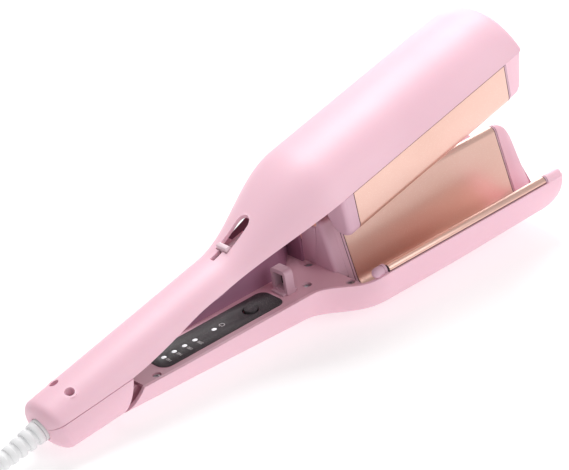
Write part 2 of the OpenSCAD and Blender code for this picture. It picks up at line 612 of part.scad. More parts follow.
// The lead runs out of the tail and along the table to the stored coil, by points set by hand
lead_sides = 10;
coil_x = -224;
layers = 4;
coil_r = coil_d/2;
coil_y = coil_r + cord_d/2;
function exit_pt(x) = world_of([x, 0, cord_z]);
lead_route = [exit_pt(clamp_x + 0.2), exit_pt(-10), exit_pt(-26), exit_pt(-40), [-185.5, 0, 4],
    [-188, 0, 3.55], [-191, 0, 3.3], [-196, 0, 3.2], [-204, 0, 3.2], [-213, 0, 3.2]];
// rings stand square to the route; the route lies in the plane y = 0 or turns about a vertical line
function heading(r, i) = let(a = r[max(i - 1, 0)], b = r[min(i + 1, len(r) - 1)]) (b - a)/norm(b - a);
function side_of(t) = let(s = cross(t, [0, 0, 1])) s/norm(s);
function tube_rings(r, d, k) = [for (i = [0:len(r) - 1]) let(t = heading(r, i), s = side_of(t),
    u = cross(s, t)) [for (j = [0:k - 1]) r[i] + d/2*(cos(360*j/k)*s + sin(360*j/k)*u)]];
module cord_lead() color(WHITE) rod(tube_rings(lead_route, cord_d, lead_sides));
module cord_coil() color(WHITE) translate([coil_x, coil_y, 0]) rotate_extrude($fn = 64)
    translate([coil_r - cord_d, 0]) polygon([[1.5, 0], [2*cord_d - 1.5, 0], [2*cord_d, 1.5],
        [2*cord_d, layers*cord_d - 1.5], [2*cord_d - 1.5, layers*cord_d], [1.5, layers*cord_d],
        [0, layers*cord_d - 1.5], [0, 1.5]]);
plug_h = 13.6;
plug_w = 35;
plug_l = 36;
plug_z = layers*cord_d + plug_h/2;
plug_at = [coil_x - 6, coil_y - coil_r, plug_z];
pin_reach = 19;
pin_gap = 18.6;
end_route = concat([for (i = [0:7]) let(a = 352 - 10*i, rise = smooth(i, 0, 7))
    [coil_x + (coil_r + 3.2*(1 - rise))*cos(a), coil_y + (coil_r + 3.2*(1 - rise))*sin(a),
        mix((layers - 0.5)*cord_d, plug_z, rise)]], [plug_at + [1, 0, 0]]);
module cord_end() color(WHITE) rod(tube_rings(end_route, cord_d, lead_sides));
module plug_body() color(WHITE) translate(plug_at) rotate([0, -90, 0]) {
    linear_extrude(plug_l) polygon([[-plug_h/2 + 2, -plug_w/2], [plug_h/2 - 2, -plug_w/2],
        [plug_h/2, -plug_w/2 + 4], [plug_h/2, plug_w/2 - 4], [plug_h/2 - 2, plug_w/2],
        [-plug_h/2 + 2, plug_w/2], [-plug_h/2, plug_w/2 - 4], [-plug_h/2, -plug_w/2 + 4]]);
}
module plug_pins() color(STEEL) translate(plug_at - [plug_l, 0, 0]) for (s = [-1, 1])
    translate([0, s*pin_gap/2, 0]) rotate([0, -90, 0]) cylinder(d = 4, h = pin_reach);

// ---- lower arm inside ----
inner_t = 1.8;
inner_x0 = lower_x0 + 2;
inner_x1 = handle_len - 0.5;
inner_steps = 22;
function inner_at(i) = mix(inner_x0, inner_x1, i/inner_steps);
function lower_in_w(x) = (lower_w(x) - wall)*wave_oval((lower_rim(x) + inner_t)/(lower_bot(x) - wall))
    - 0.35;
pocket_d = panel_t + 0.1;
catch_len = 5.5;
foot_len = 10;
panel_y0 = panel_w/2;
button_x = panel_end - 16;
power_lens_x = button_x - 25;
level_x = [for (i = [0:3]) panel_x0 + 7.4 + i*lens_pitch];
module panel_outline(g) polygon([[panel_x0 - g, -6.2], [panel_x0 - g, 6.2],
    [panel_x0 + 3.4 - g, panel_y0 + g], [panel_end - 3 + g, panel_y0 + g],
    [panel_end + g, panel_y0 - 3 + g], [panel_end + g, -panel_y0 + 3 - g],
    [panel_end - 3 + g, -panel_y0 - g], [panel_x0 + 3.4 - g, -panel_y0 - g]]);
hole_x0 = panel_x0 - 5.4;
hole_y0 = panel_y0 + 0.5;
cover_holes = [[handle_len - 4, 10.5], [handle_len - 18.7, -5.4], [handle_len - 3, -22.6],
    [hole_x0, -hole_y0], [hole_x0, hole_y0]];
head_d = 4.2;
head_t = 0.8;
screw_len = 4;
slot_len = 2.8;
slot_w = 0.6;
module lower_inner_cover() color(DUSTY) lower() difference() {
    translate([0, 0, -inner_t]) linear_extrude(inner_t) polygon(concat(
        [for (i = [0:inner_steps]) [inner_at(i), lower_in_w(inner_at(i))]],
        [for (i = [inner_steps:-1:0]) [inner_at(i), -lower_in_w(inner_at(i))]]));
    translate([0, 0, -pocket_d]) linear_extrude(5) panel_outline(0.2);
    translate([panel_x0 + 2, -7, -5]) cube([panel_len - 5, 14, 10]);
    for (p = cover_holes) translate([p[0], p[1], -5]) cylinder(d = thread_d, h = 10);
}
module lower_cover_screws() color(STEEL) lower() for (p = cover_holes) translate([p[0], p[1], 0])
    difference() {
        union() {
            cylinder(d = head_d, h = head_t);
            translate([0, 0, -screw_len]) cylinder(d = thread_d - 0.1, h = screw_len + head_t/2);
        }
        translate([-slot_len/2, -slot_w/2, head_t/2]) cube([slot_len, slot_w, head_t]);
    }
module control_panel() color(CHARCOAL) lower() difference() {
    translate([0, 0, 0.3 - panel_t]) linear_extrude(panel_t) panel_outline(0);
    for (x = concat(level_x, [power_lens_x])) translate([x, 0, -5]) cylinder(d = lens_d + 0.2, h = 10);
    translate([button_x, 0, -5]) cylinder(d = button_d + 2*slide_gap, h = 10);
}
board_z = -7.2;
board_t = 1.6;
board_x0 = panel_x0 + 3;
board_w = 13.4;
board_posts = [board_x0 + 4, board_x0 + 47];
module indicator_lenses() color(WHITE) lower() for (x = concat(level_x, [power_lens_x]))
    translate([x, 0, board_z + board_t]) cylinder(d = lens_d, h = 0.35 - board_z - board_t);
module circuit_board() color(GREEN) lower() {
    translate([board_x0, -board_w/2, board_z]) cube([panel_len - 9, board_w, board_t]);
    // standing side strips carry it from the cover
    for (s = [-1, 1]) for (x = board_posts) translate([x, s*(board_w/2 - 1.5), board_z + board_t])
        cylinder(d = 2.4, h = -board_z - board_t - pocket_d - 0.02, $fn = 16);
}
switch_h = 2.4;
stem_d = 3;
module key_switch() color([0.12, 0.12, 0.12]) lower()
    translate([button_x - 3, -3, board_z + board_t]) cube([6, 6, switch_h]);
cap_top = 0.7;
module button_cap() color([0.08, 0.08, 0.08]) lower() translate([button_x, 0, 0]) {
    translate([0, 0, -1.5]) cylinder(d = button_d, h = cap_top + 1.5);
    translate([0, 0, board_z + board_t + switch_h + button_travel + 0.05])
        cylinder(d = stem_d, h = -1.4 - (board_z + board_t + switch_h + button_travel + 0.05));
}
window_w = 7.5;
window_z0 = 2.5;
window_h = catch_h - 5;
module latch_catch() color(DUSTY) lower() difference() {
    union() {
        translate([catch_x, -catch_w/2, 0]) cube([catch_len, catch_w, catch_h]);
        translate([catch_x - 2.5, -catch_w/2 + 1, 0]) cube([foot_len, catch_w - 2, 1.4]);
    }
    translate([catch_x - 1, -window_w/2, window_z0]) cube([catch_len + 2, window_w, window_h]);
}

// ---- lower jaw ----
lip_core_z = 3;
core_y = jaw_w/2 - wall - 0.35;
function frame_under(d, k) = concat(crest_pts(d, k), valley_pts(d, k));
function frame_half(d, k) = concat(wave_half(d, k), [[core_y, seam_low], [core_y, lip_core_z],
    [core_y - 2.2, lip_core_z]], under_rev(k));
seam_low = 5.4;
function under_rev(k) = let(u = frame_under(-plate_t - frame_t, k))
    [for (i = [len(u) - 1:-1:0]) u[i]];
module frame_section(d, k) {
    half = frame_half(d, k);
    polygon(concat(half, [for (i = [len(half) - 2:-1:1]) [-half[i][0], half[i][1]]]));
}
module wave_sheet(k) polygon(concat(whole(wave_half(0, k)),
    [for (p = mirror_y(whole(wave_half(-plate_t, k)))) [-p[0], p[1]]]));
hump_lean = 0.08;
module hump_plug() {
    // end wall of the middle ridge, between the two valleys
    half = concat(crest_pts(0, 6), [valley_in(1)]);
    polygon(concat(mirror_y(half), [for (i = [1:len(half) - 1]) half[i]]));
}
function valley_in(z) = let(p = on(crest_c, crest_r, flank_a), u = [sin(flank_a), -cos(flank_a)])
    p + u*((p[1] - z)/cos(flank_a));
module lower_jaw_frame() color(DUSTY) lower() {
    along_jaw(plate_x0, plate_x1) frame_section(-plate_t, 10);
    along_jaw(plate_x1, frame_x1) frame_section(0, 8);
    // rounded root in front of the handle
    along_jaw(plate_x0 - 5, plate_x0) root_section();
    along_jaw(plate_x0 - 8, plate_x0 - 5) hump_plug();
}
module root_section() polygon(concat(whole(frame_root()), [for (p = mirror_y(whole(frame_low())))
    [-p[0], p[1]]]));
function frame_root() = concat(crest_pts(0, 8), valley_pts(0, 8));
function frame_low() = concat(crest_pts(-plate_t - frame_t, 8), valley_pts(-plate_t - frame_t, 8));
module lower_heat_plate() color(GOLD) lower()
    along_jaw(plate_x0, plate_x1) wave_sheet(10);
bar_gap = 0.3;
bar_w = 8;
bar_x0 = plate_x0 + 14;
bar_x1 = plate_x1 - 14;
function hump_y(z) = let(d = -plate_t - frame_t, p = on(crest_c, crest_r + d, flank_a),
    q = on(valley_c, valley_r - d, flank_a + 180)) mix(p[0], q[0], (p[1] - z)/(p[1] - q[1]));
bar_top = 16;
bar_z0 = 5;
module lower_heater() color([0.85, 0.85, 0.82]) lower() along_jaw(bar_x0, bar_x1)
    polygon([[-hump_y(bar_z0) + bar_gap, bar_z0], [hump_y(bar_z0) - bar_gap, bar_z0],
        [hump_y(bar_top) - bar_gap, bar_top], [-hump_y(bar_top) + bar_gap, bar_top]]);
strap_len = 8;
strap_w = 2*valley_y - 2;
strap_t = 1.5;
prop_w = 4;
strap_in = 10;
strap_xs = [bar_x0 + strap_in, bar_x1 - strap_in - strap_len];
strap_z = valley_c[1] - valley_r - plate_t - frame_t - 0.1;
module heater_clamps() color(STEEL) lower() for (x = strap_xs) translate([x, 0, strap_z]) {
    translate([0, -strap_w/2, -strap_t]) cube([strap_len, strap_w, strap_t]);
    translate([0, -prop_w/2, -0.1]) cube([strap_len, prop_w, bar_z0 - strap_z + 0.05]);
}
module lower_sensor() color([0.9, 0.88, 0.8]) lower()
    translate([bar_x0 + 40, 0, bar_z0 - sensor_d/2 - 0.02]) rotate([0, 90, 0])
        cylinder(d = sensor_d, h = sensor_len);

upper_shell();
tail_cover();
tail_screws();
hinge_bracket();
hinge_pin();
pin_clip();
return_spring();
upper_inner_cover();
upper_cover_screws();
upper_jaw_frame();
upper_heat_plate();
upper_heaters();
upper_sensor();
lock_guide();
cord_clamp();
cord_lead();
cord_coil();
cord_end();
plug_body();
plug_pins();
strain_relief();
lock_slider();
lower_shell();
hinge_arm();
hinge_bushes();
lower_inner_cover();
lower_cover_screws();
latch_catch();
lower_jaw_frame();
lower_heat_plate();
lower_heater();
heater_clamps();
lower_sensor();
control_panel();
indicator_lenses();
circuit_board();
key_switch();
button_cap();
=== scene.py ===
"""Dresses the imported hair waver.

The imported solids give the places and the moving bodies. This script adds the moulded shells with
their rounded edges, the coated wave plates, the control panel with its numbers, the ribbed strain
relief and the coiled lead, then the table, the lamps and the camera. Lengths inside the classes are
millimetres in an arm's own frame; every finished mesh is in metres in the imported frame.
"""

import json
import logging
import math
from dataclasses import dataclass
from enum import Enum
from typing import Iterable, Sequence

import bmesh
import bpy
from mathutils import Matrix, Vector


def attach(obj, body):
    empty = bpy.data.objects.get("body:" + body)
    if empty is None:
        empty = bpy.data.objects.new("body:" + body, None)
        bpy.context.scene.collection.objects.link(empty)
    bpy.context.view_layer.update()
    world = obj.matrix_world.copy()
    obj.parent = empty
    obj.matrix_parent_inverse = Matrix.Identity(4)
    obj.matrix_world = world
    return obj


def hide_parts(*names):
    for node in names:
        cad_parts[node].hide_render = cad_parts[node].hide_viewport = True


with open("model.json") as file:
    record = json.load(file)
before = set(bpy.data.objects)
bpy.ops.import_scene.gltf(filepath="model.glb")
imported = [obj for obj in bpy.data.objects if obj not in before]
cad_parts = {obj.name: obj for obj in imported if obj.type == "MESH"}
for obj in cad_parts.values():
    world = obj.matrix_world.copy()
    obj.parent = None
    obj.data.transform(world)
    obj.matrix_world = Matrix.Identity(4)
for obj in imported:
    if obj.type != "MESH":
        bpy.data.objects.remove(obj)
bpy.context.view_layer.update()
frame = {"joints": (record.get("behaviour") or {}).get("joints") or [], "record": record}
LOG = logging.getLogger("hair_waver")

Point = tuple[float, float, float]
Flat = tuple[float, float]
Ring = list[Point]
Colour = tuple[float, float, float]
Object = bpy.types.Object
Socket = bpy.types.NodeSocket

MM = 0.001
IMAGE_WIDTH = 569
IMAGE_HEIGHT = 470
WHITE = (1.0, 1.0, 1.0, 1.0)


class Body(Enum):
    """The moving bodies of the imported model."""

    UPPER = "upper_arm"
    LOWER = "lower_arm"
    SWIVEL = "cord_swivel"
    LOCK = "lock"
    BUTTON = "button"


# ---------------------------------------------------------------- sizes and places


def clamp01(value: float) -> float:
    """Limits a value to the range 0 to 1."""
    return min(1.0, max(0.0, value))


def smooth(value: float, low: float, high: float) -> float:
    """Rises smoothly from 0 at low to 1 at high.

    Args:
        value: The place that is asked for.
        low: Where the rise starts.
        high: Where the rise ends.

    Returns:
        The share of the rise at that place.
    """
    share = clamp01((value - low) / (high - low))
    return share * share * (3 - 2 * share)


def mix(start: float, end: float, share: float) -> float:
    """Goes from start to end by a share."""
    return start + (end - start) * share


@dataclass(frozen=True)
class Stance:
    """How the two arms stand on the table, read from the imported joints.

    Attributes:
        hinge_x: Tail end of the lower arm to the hinge pin.
        hinge_drop: Parting plane down to the hinge pin.
        arm_offset: How far the upper arm stands back on the lower one.
    """

    hinge_x: float = 25.0
    hinge_drop: float = 1.0
    arm_offset: float = 1.3

    def joint(self, name: str) -> dict:
        """Finds a packed joint by its name."""
        return next(joint for joint in frame["joints"] if joint["name"] == name)

    def tilt(self) -> float:
        """Angle of the lower arm over the table, in radians."""
        press = self.joint("button_press")["axis"]
        return math.atan2(press[0], -press[2])

    def opening(self) -> float:
        """Angle between the arms at rest, in radians."""
        return math.radians(self.joint("jaw_hinge")["range_deg"][1])

    def lower(self) -> Matrix:
        """Places lower-arm millimetres on the table, in millimetres."""
        turn = Matrix.Rotation(-self.tilt(), 4, "Y")
        pin = Vector(self.joint("jaw_hinge")["pos_m"]) / MM
        base = pin - turn @ Vector((self.hinge_x, 0, -self.hinge_drop))
        return Matrix.Translation(base) @ turn

    def upper(self) -> Matrix:
        """Places upper-arm millimetres on the table, in millimetres."""
        out = Matrix.Translation((self.hinge_x, 0, -self.hinge_drop))
        back = Matrix.Translation((-self.hinge_x - self.arm_offset, 0, self.hinge_drop))
        return self.lower() @ out @ Matrix.Rotation(-self.opening(), 4, "Y") @ back

    def matrix(self, body: Body) -> Matrix:
        """Gives the matrix from the millimetres of a body's arm to packed metres."""
        place = self.lower() if body in (Body.LOWER, Body.BUTTON) else self.upper()
        return Matrix.Scale(MM, 4) @ place


STANCE = Stance()


@dataclass(frozen=True)
class WaverSizes:
    """Driving sizes of the waver, in millimetres, the same as those of its solids."""

    handle_len: float = 190.0
    handle_w: float = 37.0
    lower_handle_w: float = 34.6
    handle_top: float = 17.0
    depth_tail: float = 13.0
    depth_front: float = 19.0
    wall: float = 2.2
    plate_len: float = 114.8
    jaw_w: float = 82.0
    jaw_depth: float = 25.4
    upper_jaw_w: float = 71.0
    jaw_top: float = 37.0
    tip_len: float = 13.5
    oval_power: float = 2.15
    tail_round: float = 7.0
    seam_z: float = 16.5
    seam_gap: float = 0.4
    cord_z: float = 4.0
    mouth_d: float = 13.4
    lower_x0: float = 53.0
    cover_len: float = 50.0
    cover_lean: float = 0.62

    @property
    def plate_x0(self) -> float:
        """Root end of the heat plates."""
        return self.handle_len + 10

    @property
    def plate_x1(self) -> float:
        """Tip end of the heat plates."""
        return self.plate_x0 + self.plate_len

    @property
    def wall_x(self) -> float:
        """Where the moulded tips become solid."""
        return self.plate_x1 + 1.2

    @property
    def lower_tip(self) -> float:
        """Front end of the lower jaw."""
        return self.plate_x1 + self.tip_len

    @property
    def upper_tip(self) -> float:
        """Front end of the upper jaw."""
        return self.lower_tip + 2.4


SIZES = WaverSizes()


# ---------------------------------------------------------------- the wave and the two shells


@dataclass(frozen=True)
class Wave:
    """The nested wave of the two plates: arcs about three centres joined by common tangents.

    Attributes:
        crest_z: Height of the middle ridge.
        crest_r: Radius of the middle ridge.
        valley_y: Sideways place of the valleys.
        valley_z: Depth of the valleys.
        valley_r: Radius of the valleys.
        lip_y: Sideways place of the side lips.
        lip_z: Height of the side lips.
        lip_r: Radius of the side lips.
        nest_gap: Gap between the closed plates.
        plate_t: Thickness of the plates.
        frame_t: Thickness of the frames behind them.
        seam_drop: Angle at which the plate ends on the side lip.
    """

    crest_z: float = 28.5
    crest_r: float = 3.2
    valley_y: float = 20.0
    valley_z: float = 12.9
    valley_r: float = 9.0
    lip_y: float = 37.6
    lip_z: float = 9.0
    lip_r: float = 2.6
    nest_gap: float = 1.2
    plate_t: float = 1.2
    frame_t: float = 1.5
    seam_drop: float = -18.0

    @property
    def crest_c(self) -> Vector:
        """Centre of the middle ridge."""
        return Vector((0, self.crest_z - self.crest_r))

    @property
    def valley_c(self) -> Vector:
        """Centre of the valley."""
        return Vector((self.valley_y, self.valley_r - self.valley_z))

    @property
    def lip_c(self) -> Vector:
        """Centre of the side lip."""
        return Vector((self.lip_y, self.lip_z - self.lip_r))

    @property
    def flank(self) -> float:
        """Angle of the inner flank's normal, in degrees."""
        reach = self.valley_c - self.crest_c
        lean = math.degrees(math.acos((self.crest_r + self.valley_r) / reach.length))
        return math.degrees(math.atan2(reach.y, reach.x)) + lean

    @property
    def lip_lean(self) -> float:
        """Angle of the outer flank's normal, in degrees."""
        reach = self.valley_c - self.lip_c
        lean = math.degrees(math.acos((self.lip_r + self.valley_r) / reach.length))
        return 360 + math.degrees(math.atan2(reach.y, reach.x)) - lean

    @property
    def lobe_r(self) -> float:
        """Radius of the upper lobes."""
        return self.valley_r - self.nest_gap

    @property
    def seam_y(self) -> float:
        """Sideways place of the seam between the upper shell and the upper plate."""
        share = oval_width(SIZES.seam_z / SIZES.jaw_top, SIZES.oval_power)
        return share * SIZES.upper_jaw_w / 2

    @property
    def lobe_lean(self) -> float:
        """Angle of the upper outer flank's normal, in degrees."""
        reach = Vector((self.seam_y, SIZES.seam_z)) - self.valley_c
        lean = math.degrees(math.acos(self.lobe_r / reach.length))
        return math.degrees(math.atan2(reach.y, reach.x)) - lean

    @staticmethod
    def arc(centre: Vector, radius: float, start: float, end: float, steps: int) -> list[Flat]:
        """Points of an arc.

        Args:
            centre: Centre of the arc.
            radius: Radius of the arc.
            start: First angle in degrees.
            end: Last angle in degrees.
            steps: Number of steps along the arc.

        Returns:
            The points from the first angle to the last.
        """
        points = []
        for index in range(steps + 1):
            angle = math.radians(mix(start, end, index / steps))
            points.append((centre.x + radius * math.cos(angle), centre.y + radius * math.sin(angle)))
        return points

    def ridge(self, rise: float, steps: int) -> list[Flat]:
        """Right half of the middle ridge at an offset out of the lower jaw."""
        return self.arc(self.crest_c, self.crest_r + rise, 90, self.flank, steps)

    def trough(self, rise: float, steps: int) -> list[Flat]:
        """Right half of the lower wave from the ridge to the valley's outer end."""
        start, end = self.flank + 180, self.lip_lean + 180
        valley = self.arc(self.valley_c, self.valley_r - rise, start, end, 2 * steps)
        return self.ridge(rise, steps) + valley

    def lobe(self, depth: float, steps: int) -> list[Flat]:
        """Lower line of an upper lobe at an offset into the upper jaw."""
        start, end = self.flank + 180, self.lobe_lean + 360
        return self.arc(self.valley_c, self.lobe_r - depth, start, end, 2 * steps)

    def lower_half(self, rise: float, steps: int, end: float | None = None) -> list[Flat]:
        """Right half of the lower wave from the ridge to the lip.

        Args:
            rise: Offset out of the jaw.
            steps: Steps along each arc.
            end: Angle at which the lip ends, or None for the plate's own end.

        Returns:
            The points of the half wave.
        """
        last = self.seam_drop if end is None else end
        lip = self.arc(self.lip_c, self.lip_r + rise, self.lip_lean, last, steps)
        return self.trough(rise, steps) + lip

    def seam_end(self, depth: float) -> Flat:
        """Upper end of the outer flank at an offset into the upper jaw.

        Args:
            depth: The offset.

        Returns:
            The point.
        """
        lean = math.radians(self.lobe_lean)
        start = self.arc(self.valley_c, self.lobe_r - depth, self.lobe_lean, self.lobe_lean, 1)[0]
        rise = (SIZES.seam_z - SIZES.seam_gap - start[1]) / math.cos(lean)
        return start[0] - math.sin(lean) * rise, start[1] + math.cos(lean) * rise

    def upper_half(self, depth: float, steps: int) -> list[Flat]:
        """Right half of the upper wave from the groove to the seam.

        Args:
            depth: Offset into the upper jaw.
            steps: Steps along each arc.

        Returns:
            The points of the half wave.
        """
        radius = self.crest_r + self.nest_gap + depth
        groove = self.arc(self.crest_c, radius, 90, self.flank, steps)
        return groove + self.lobe(depth, steps) + [self.seam_end(depth)]


def nose_inset(left: float, radius: float) -> float:
    """Depth of an evenly rounded end under the full outline.

    Args:
        left: Distance that is left to the end.
        radius: Radius of the rounding.

    Returns:
        The inset at that distance.
    """
    share = clamp01(1 - left / radius)
    return radius * (1 - math.sqrt(1 - share * share))


def nose_steps(length: float, radius: float) -> list[float]:
    """Shares of a solid tip's length, closer together over its rounded end.

    Args:
        length: Length of the tip.
        radius: Radius of its rounded end.

    Returns:
        The shares.
    """
    even, turn = 12, 9
    start = 0.98 - radius / length
    shares = [index / even for index in range(1, even) if index / even < start]
    for index in range(turn + 1):
        shares.append(1 - radius / length * (1 - math.sin(math.pi * index / (2 * turn))))
    return shares


def oval_width(height: float, power: float) -> float:
    """Width share of a superellipse at a height share."""
    return (1 - clamp01(abs(height)) ** power) ** (1 / power)


def whole(half: list[Flat]) -> list[Flat]:
    """Mirrors a right half about the middle plane and joins it, from left to right."""
    return [(-y, z) for y, z in reversed(half)] + half[1:]


WAVE = Wave()


class ShellForm:
    """Outlines of the moulded shells as functions of the station along the arm.

    Attributes:
        columns: Steps round a ring.
        nose_r: Radius of the rounded front end.
        front: Place of the front end.
    """

    columns: int = 100
    nose_r: float = 3.6
    front: float = SIZES.upper_tip

    @staticmethod
    def tail(x: float) -> float:
        """Size share of a ring near the rounded tail end."""
        share = clamp01((SIZES.tail_round - x) / SIZES.tail_round)
        return (1 - share**2.5) ** 0.4

    @classmethod
    def tip(cls, x: float) -> float:
        """Share of the way from the solid tip's root to its front."""
        return clamp01((x - SIZES.wall_x) / (cls.front - SIZES.wall_x))

    @classmethod
    def inset(cls, x: float) -> float:
        """Inset of the rounded front end."""
        return nose_inset(cls.front - x, cls.nose_r)

    @staticmethod
    def about_cord(z: float, share: float) -> float:
        """Draws a height in towards the cord's axis."""
        return SIZES.cord_z + (z - SIZES.cord_z) * share

    @staticmethod
    def oval_point(angle: float, width: float, top: float, bottom: float) -> Flat:
        """A point of the superellipse at an angle in degrees.

        Args:
            angle: The angle.
            width: Half width.
            top: Height above its centre.
            bottom: Depth below it.

        Returns:
            The point.
        """
        cos, sin = math.cos(math.radians(angle)), math.sin(math.radians(angle))
        power = 2 / SIZES.oval_power
        y = width * math.copysign(abs(cos) ** power, cos)
        return y, (top if sin >= 0 else -bottom) * abs(sin) ** power

    @staticmethod
    def rim_angle(z: float, top: float) -> float:
        """Angle in degrees at which the oval passes a height."""
        return math.degrees(math.asin((max(z, 0) / top) ** (SIZES.oval_power / 2)))


class UpperForm(ShellForm):
    """Outline of the upper shell and of the tail cover under it.

    Attributes:
        flare_run: How far before and past the handle's end the jaw widens.
        taper: How much narrower and lower the tip gets.
        rim_low: Height of the handle's rim at its lowest.
        rim_back: How much higher the rim is at the cover's end, and the length over which that runs out.
        rim_slope: Slope of the rim along the tail cover.
        rim_lift: How much the rim rises along the handle, and where that starts and ends past the cover.
        clip_start: Share of the tip at which its lower side starts to rise.
    """

    flare_run: Flat = (65.0, 5.0)
    taper: Flat = (0.03, 0.045)
    rim_low: float = 3.2
    rim_back: Flat = (2.0, 45.0)
    rim_slope: float = 0.09
    rim_lift: tuple[float, float, float] = (5.2, 2.0, 55.0)
    clip_start: float = 0.15

    @classmethod
    def flare(cls, x: float) -> float:
        """Share of the change from handle to jaw."""
        before, past = cls.flare_run
        return smooth(x, SIZES.handle_len - before, SIZES.handle_len + past)

    @classmethod
    def width(cls, x: float) -> float:
        """Half width of the oval."""
        base = mix(SIZES.handle_w / 2, SIZES.upper_jaw_w / 2, cls.flare(x))
        return base * (1 - cls.taper[0] * cls.tip(x) ** 5) - cls.inset(x)

    @classmethod
    def top(cls, x: float) -> float:
        """Height of the oval."""
        base = mix(SIZES.handle_top, SIZES.jaw_top, cls.flare(x))
        return base * (1 - cls.taper[1] * cls.tip(x) ** 2) - cls.inset(x)

    @classmethod
    def handle_rim(cls, x: float) -> float:
        """Height of the rim along the handle.

        Args:
            x: Place along the arm.

        Returns:
            The height.
        """
        turn = SIZES.cover_len
        back, run = cls.rim_back
        lift, start, end = cls.rim_lift
        low = cls.rim_low + back * (1 - smooth(x, turn, turn + run)) + cls.rim_slope * max(0.0, turn - x)
        return low + lift * smooth(x, turn + start, turn + end)

    @classmethod
    def clip(cls, x: float) -> float:
        """Lowest height of the solid tip."""
        rise = clamp01((cls.tip(x) - cls.clip_start) / (1 - cls.clip_start)) ** 1.4
        return mix(-WAVE.valley_z, SIZES.seam_z - 2.5, rise) + cls.inset(x) * 0.5

    @classmethod
    def rim(cls, x: float) -> float:
        """Height of the rim."""
        if x > SIZES.wall_x:
            return max(SIZES.seam_z, cls.clip(x))
        return mix(cls.handle_rim(x), SIZES.seam_z, cls.flare(x))

    @classmethod
    def ring(cls, x: float, shell: float = 0.0, place: float | None = None) -> Ring:
        """Points of the arch from the left rim over the top to the right rim.

        Args:
            x: Station whose outline is taken.
            shell: Depth under the outer surface.
            place: Where the ring is put, or None for its own station.

        Returns:
            The ring's points.
        """
        share = cls.tail(x)
        width, top = cls.width(x) - shell, cls.top(x) - shell
        start = cls.rim_angle(cls.rim(x), top)
        points = []
        for index in range(cls.columns + 1):
            angle = mix(start, 180 - start, index / cls.columns)
            y, z = cls.oval_point(angle, width, top, top)
            points.append((x if place is None else place, y * share, cls.about_cord(z, share)))
        return points


class LowerForm(ShellForm):
    """Outline of the lower shell.

    Attributes:
        flare_run: How far before the plates the jaw widens.
        slack: How far the jaw's side stays inside its full width.
        waist: How much narrower the handle's tail is, and where that starts and ends.
        taper: How much narrower and shallower the tip gets.
        rims: Height of the rim along the handle and along the jaw.
        rim_run: How far before and past the plates' root the rim rises.
        belly: Where the handle starts to get deeper, and over what length.
        swell_run: How far before and past the handle's end the belly swells.
        jaw_rise: How much shallower the jaw gets, and how far past the handle's end that starts.
        tail_lean: How far the rings lean at the tail edge, and where that ends.
    """

    front: float = SIZES.lower_tip
    flare_run: float = 34.0
    slack: float = 0.02
    waist: tuple[float, float, float] = (0.6, 40.0, 90.0)
    taper: Flat = (0.02, 0.34)
    rims: Flat = (1.2, 5.5)
    rim_run: Flat = (16.0, 1.0)
    belly: Flat = (40.0, 120.0)
    swell_run: Flat = (30.0, 17.0)
    jaw_rise: Flat = (0.07, 55.0)
    tail_lean: Flat = (0.85, 95.0)

    @classmethod
    def flare(cls, x: float) -> float:
        """Share of the change from handle to jaw."""
        return smooth(x, SIZES.plate_x0 - cls.flare_run, SIZES.plate_x0)

    @classmethod
    def width(cls, x: float) -> float:
        """Half width of the oval.

        Args:
            x: Place along the arm.

        Returns:
            The half width.
        """
        less, start, end = cls.waist
        handle = SIZES.lower_handle_w / 2 - less * (1 - smooth(x, start, end))
        base = mix(handle, SIZES.jaw_w / 2 - cls.slack, cls.flare(x))
        return base * (1 - cls.taper[0] * cls.tip(x) ** 4) - cls.inset(x)

    @classmethod
    def rim(cls, x: float) -> float:
        """Height of the rim."""
        before, past = cls.rim_run
        return mix(*cls.rims, smooth(x, SIZES.plate_x0 - before, SIZES.plate_x0 + past))

    @classmethod
    def bottom(cls, x: float) -> float:
        """Depth of the oval under the rim.

        Args:
            x: Place along the arm.

        Returns:
            The depth.
        """
        start, run = cls.belly
        before, past = cls.swell_run
        less, rise_x = cls.jaw_rise
        depth = mix(SIZES.depth_tail, SIZES.depth_front, clamp01((x - start) / run))
        swell = smooth(x, SIZES.handle_len - before, SIZES.handle_len + past)
        depth = mix(depth, SIZES.jaw_depth, swell)
        depth *= 1 - less * smooth(x, SIZES.handle_len + rise_x, SIZES.wall_x)
        return cls.rim(x) + depth * (1 - cls.taper[1] * cls.tip(x) ** 3) - cls.inset(x)

    @classmethod
    def lean(cls, x: float) -> float:
        """How far the ring leans back with depth, towards the slanted tail edge."""
        most, end = cls.tail_lean
        return most * (1 - smooth(x, SIZES.lower_x0, end))

    @classmethod
    def clip(cls, x: float) -> float:
        """Highest height of the solid tip."""
        return WAVE.crest_z + 0.3 - (WAVE.crest_z - 6) * cls.tip(x) ** 2.4

    @classmethod
    def ring(cls, x: float, shell: float = 0.0) -> Ring:
        """Points of the trough from the -y rim under the belly to the +y rim.

        Args:
            x: Station of the ring.
            shell: Depth under the outer surface.

        Returns:
            The ring's points.
        """
        points = []
        for index in range(cls.columns + 1):
            angle = 180 + 180 * index / cls.columns
            y, z = cls.oval_point(angle, cls.width(x) - shell, 1, cls.bottom(x) - shell)
            points.append((x + cls.lean(x) * z, y, cls.rim(x) + z))
        return points


# ---------------------------------------------------------------- meshes


def turned_normals(mesh: bpy.types.Mesh, merge: float = 0.0) -> None:
    """Turns every face of a closed mesh outwards.

    Args:
        mesh: The mesh to mend.
        merge: Distance within which corners are merged first, or 0 for none.
    """
    shape = bmesh.new()
    shape.from_mesh(mesh)
    if merge:
        bmesh.ops.remove_doubles(shape, verts=shape.verts, dist=merge)
    bmesh.ops.recalc_face_normals(shape, faces=shape.faces)
    shape.to_mesh(mesh)
    shape.free()


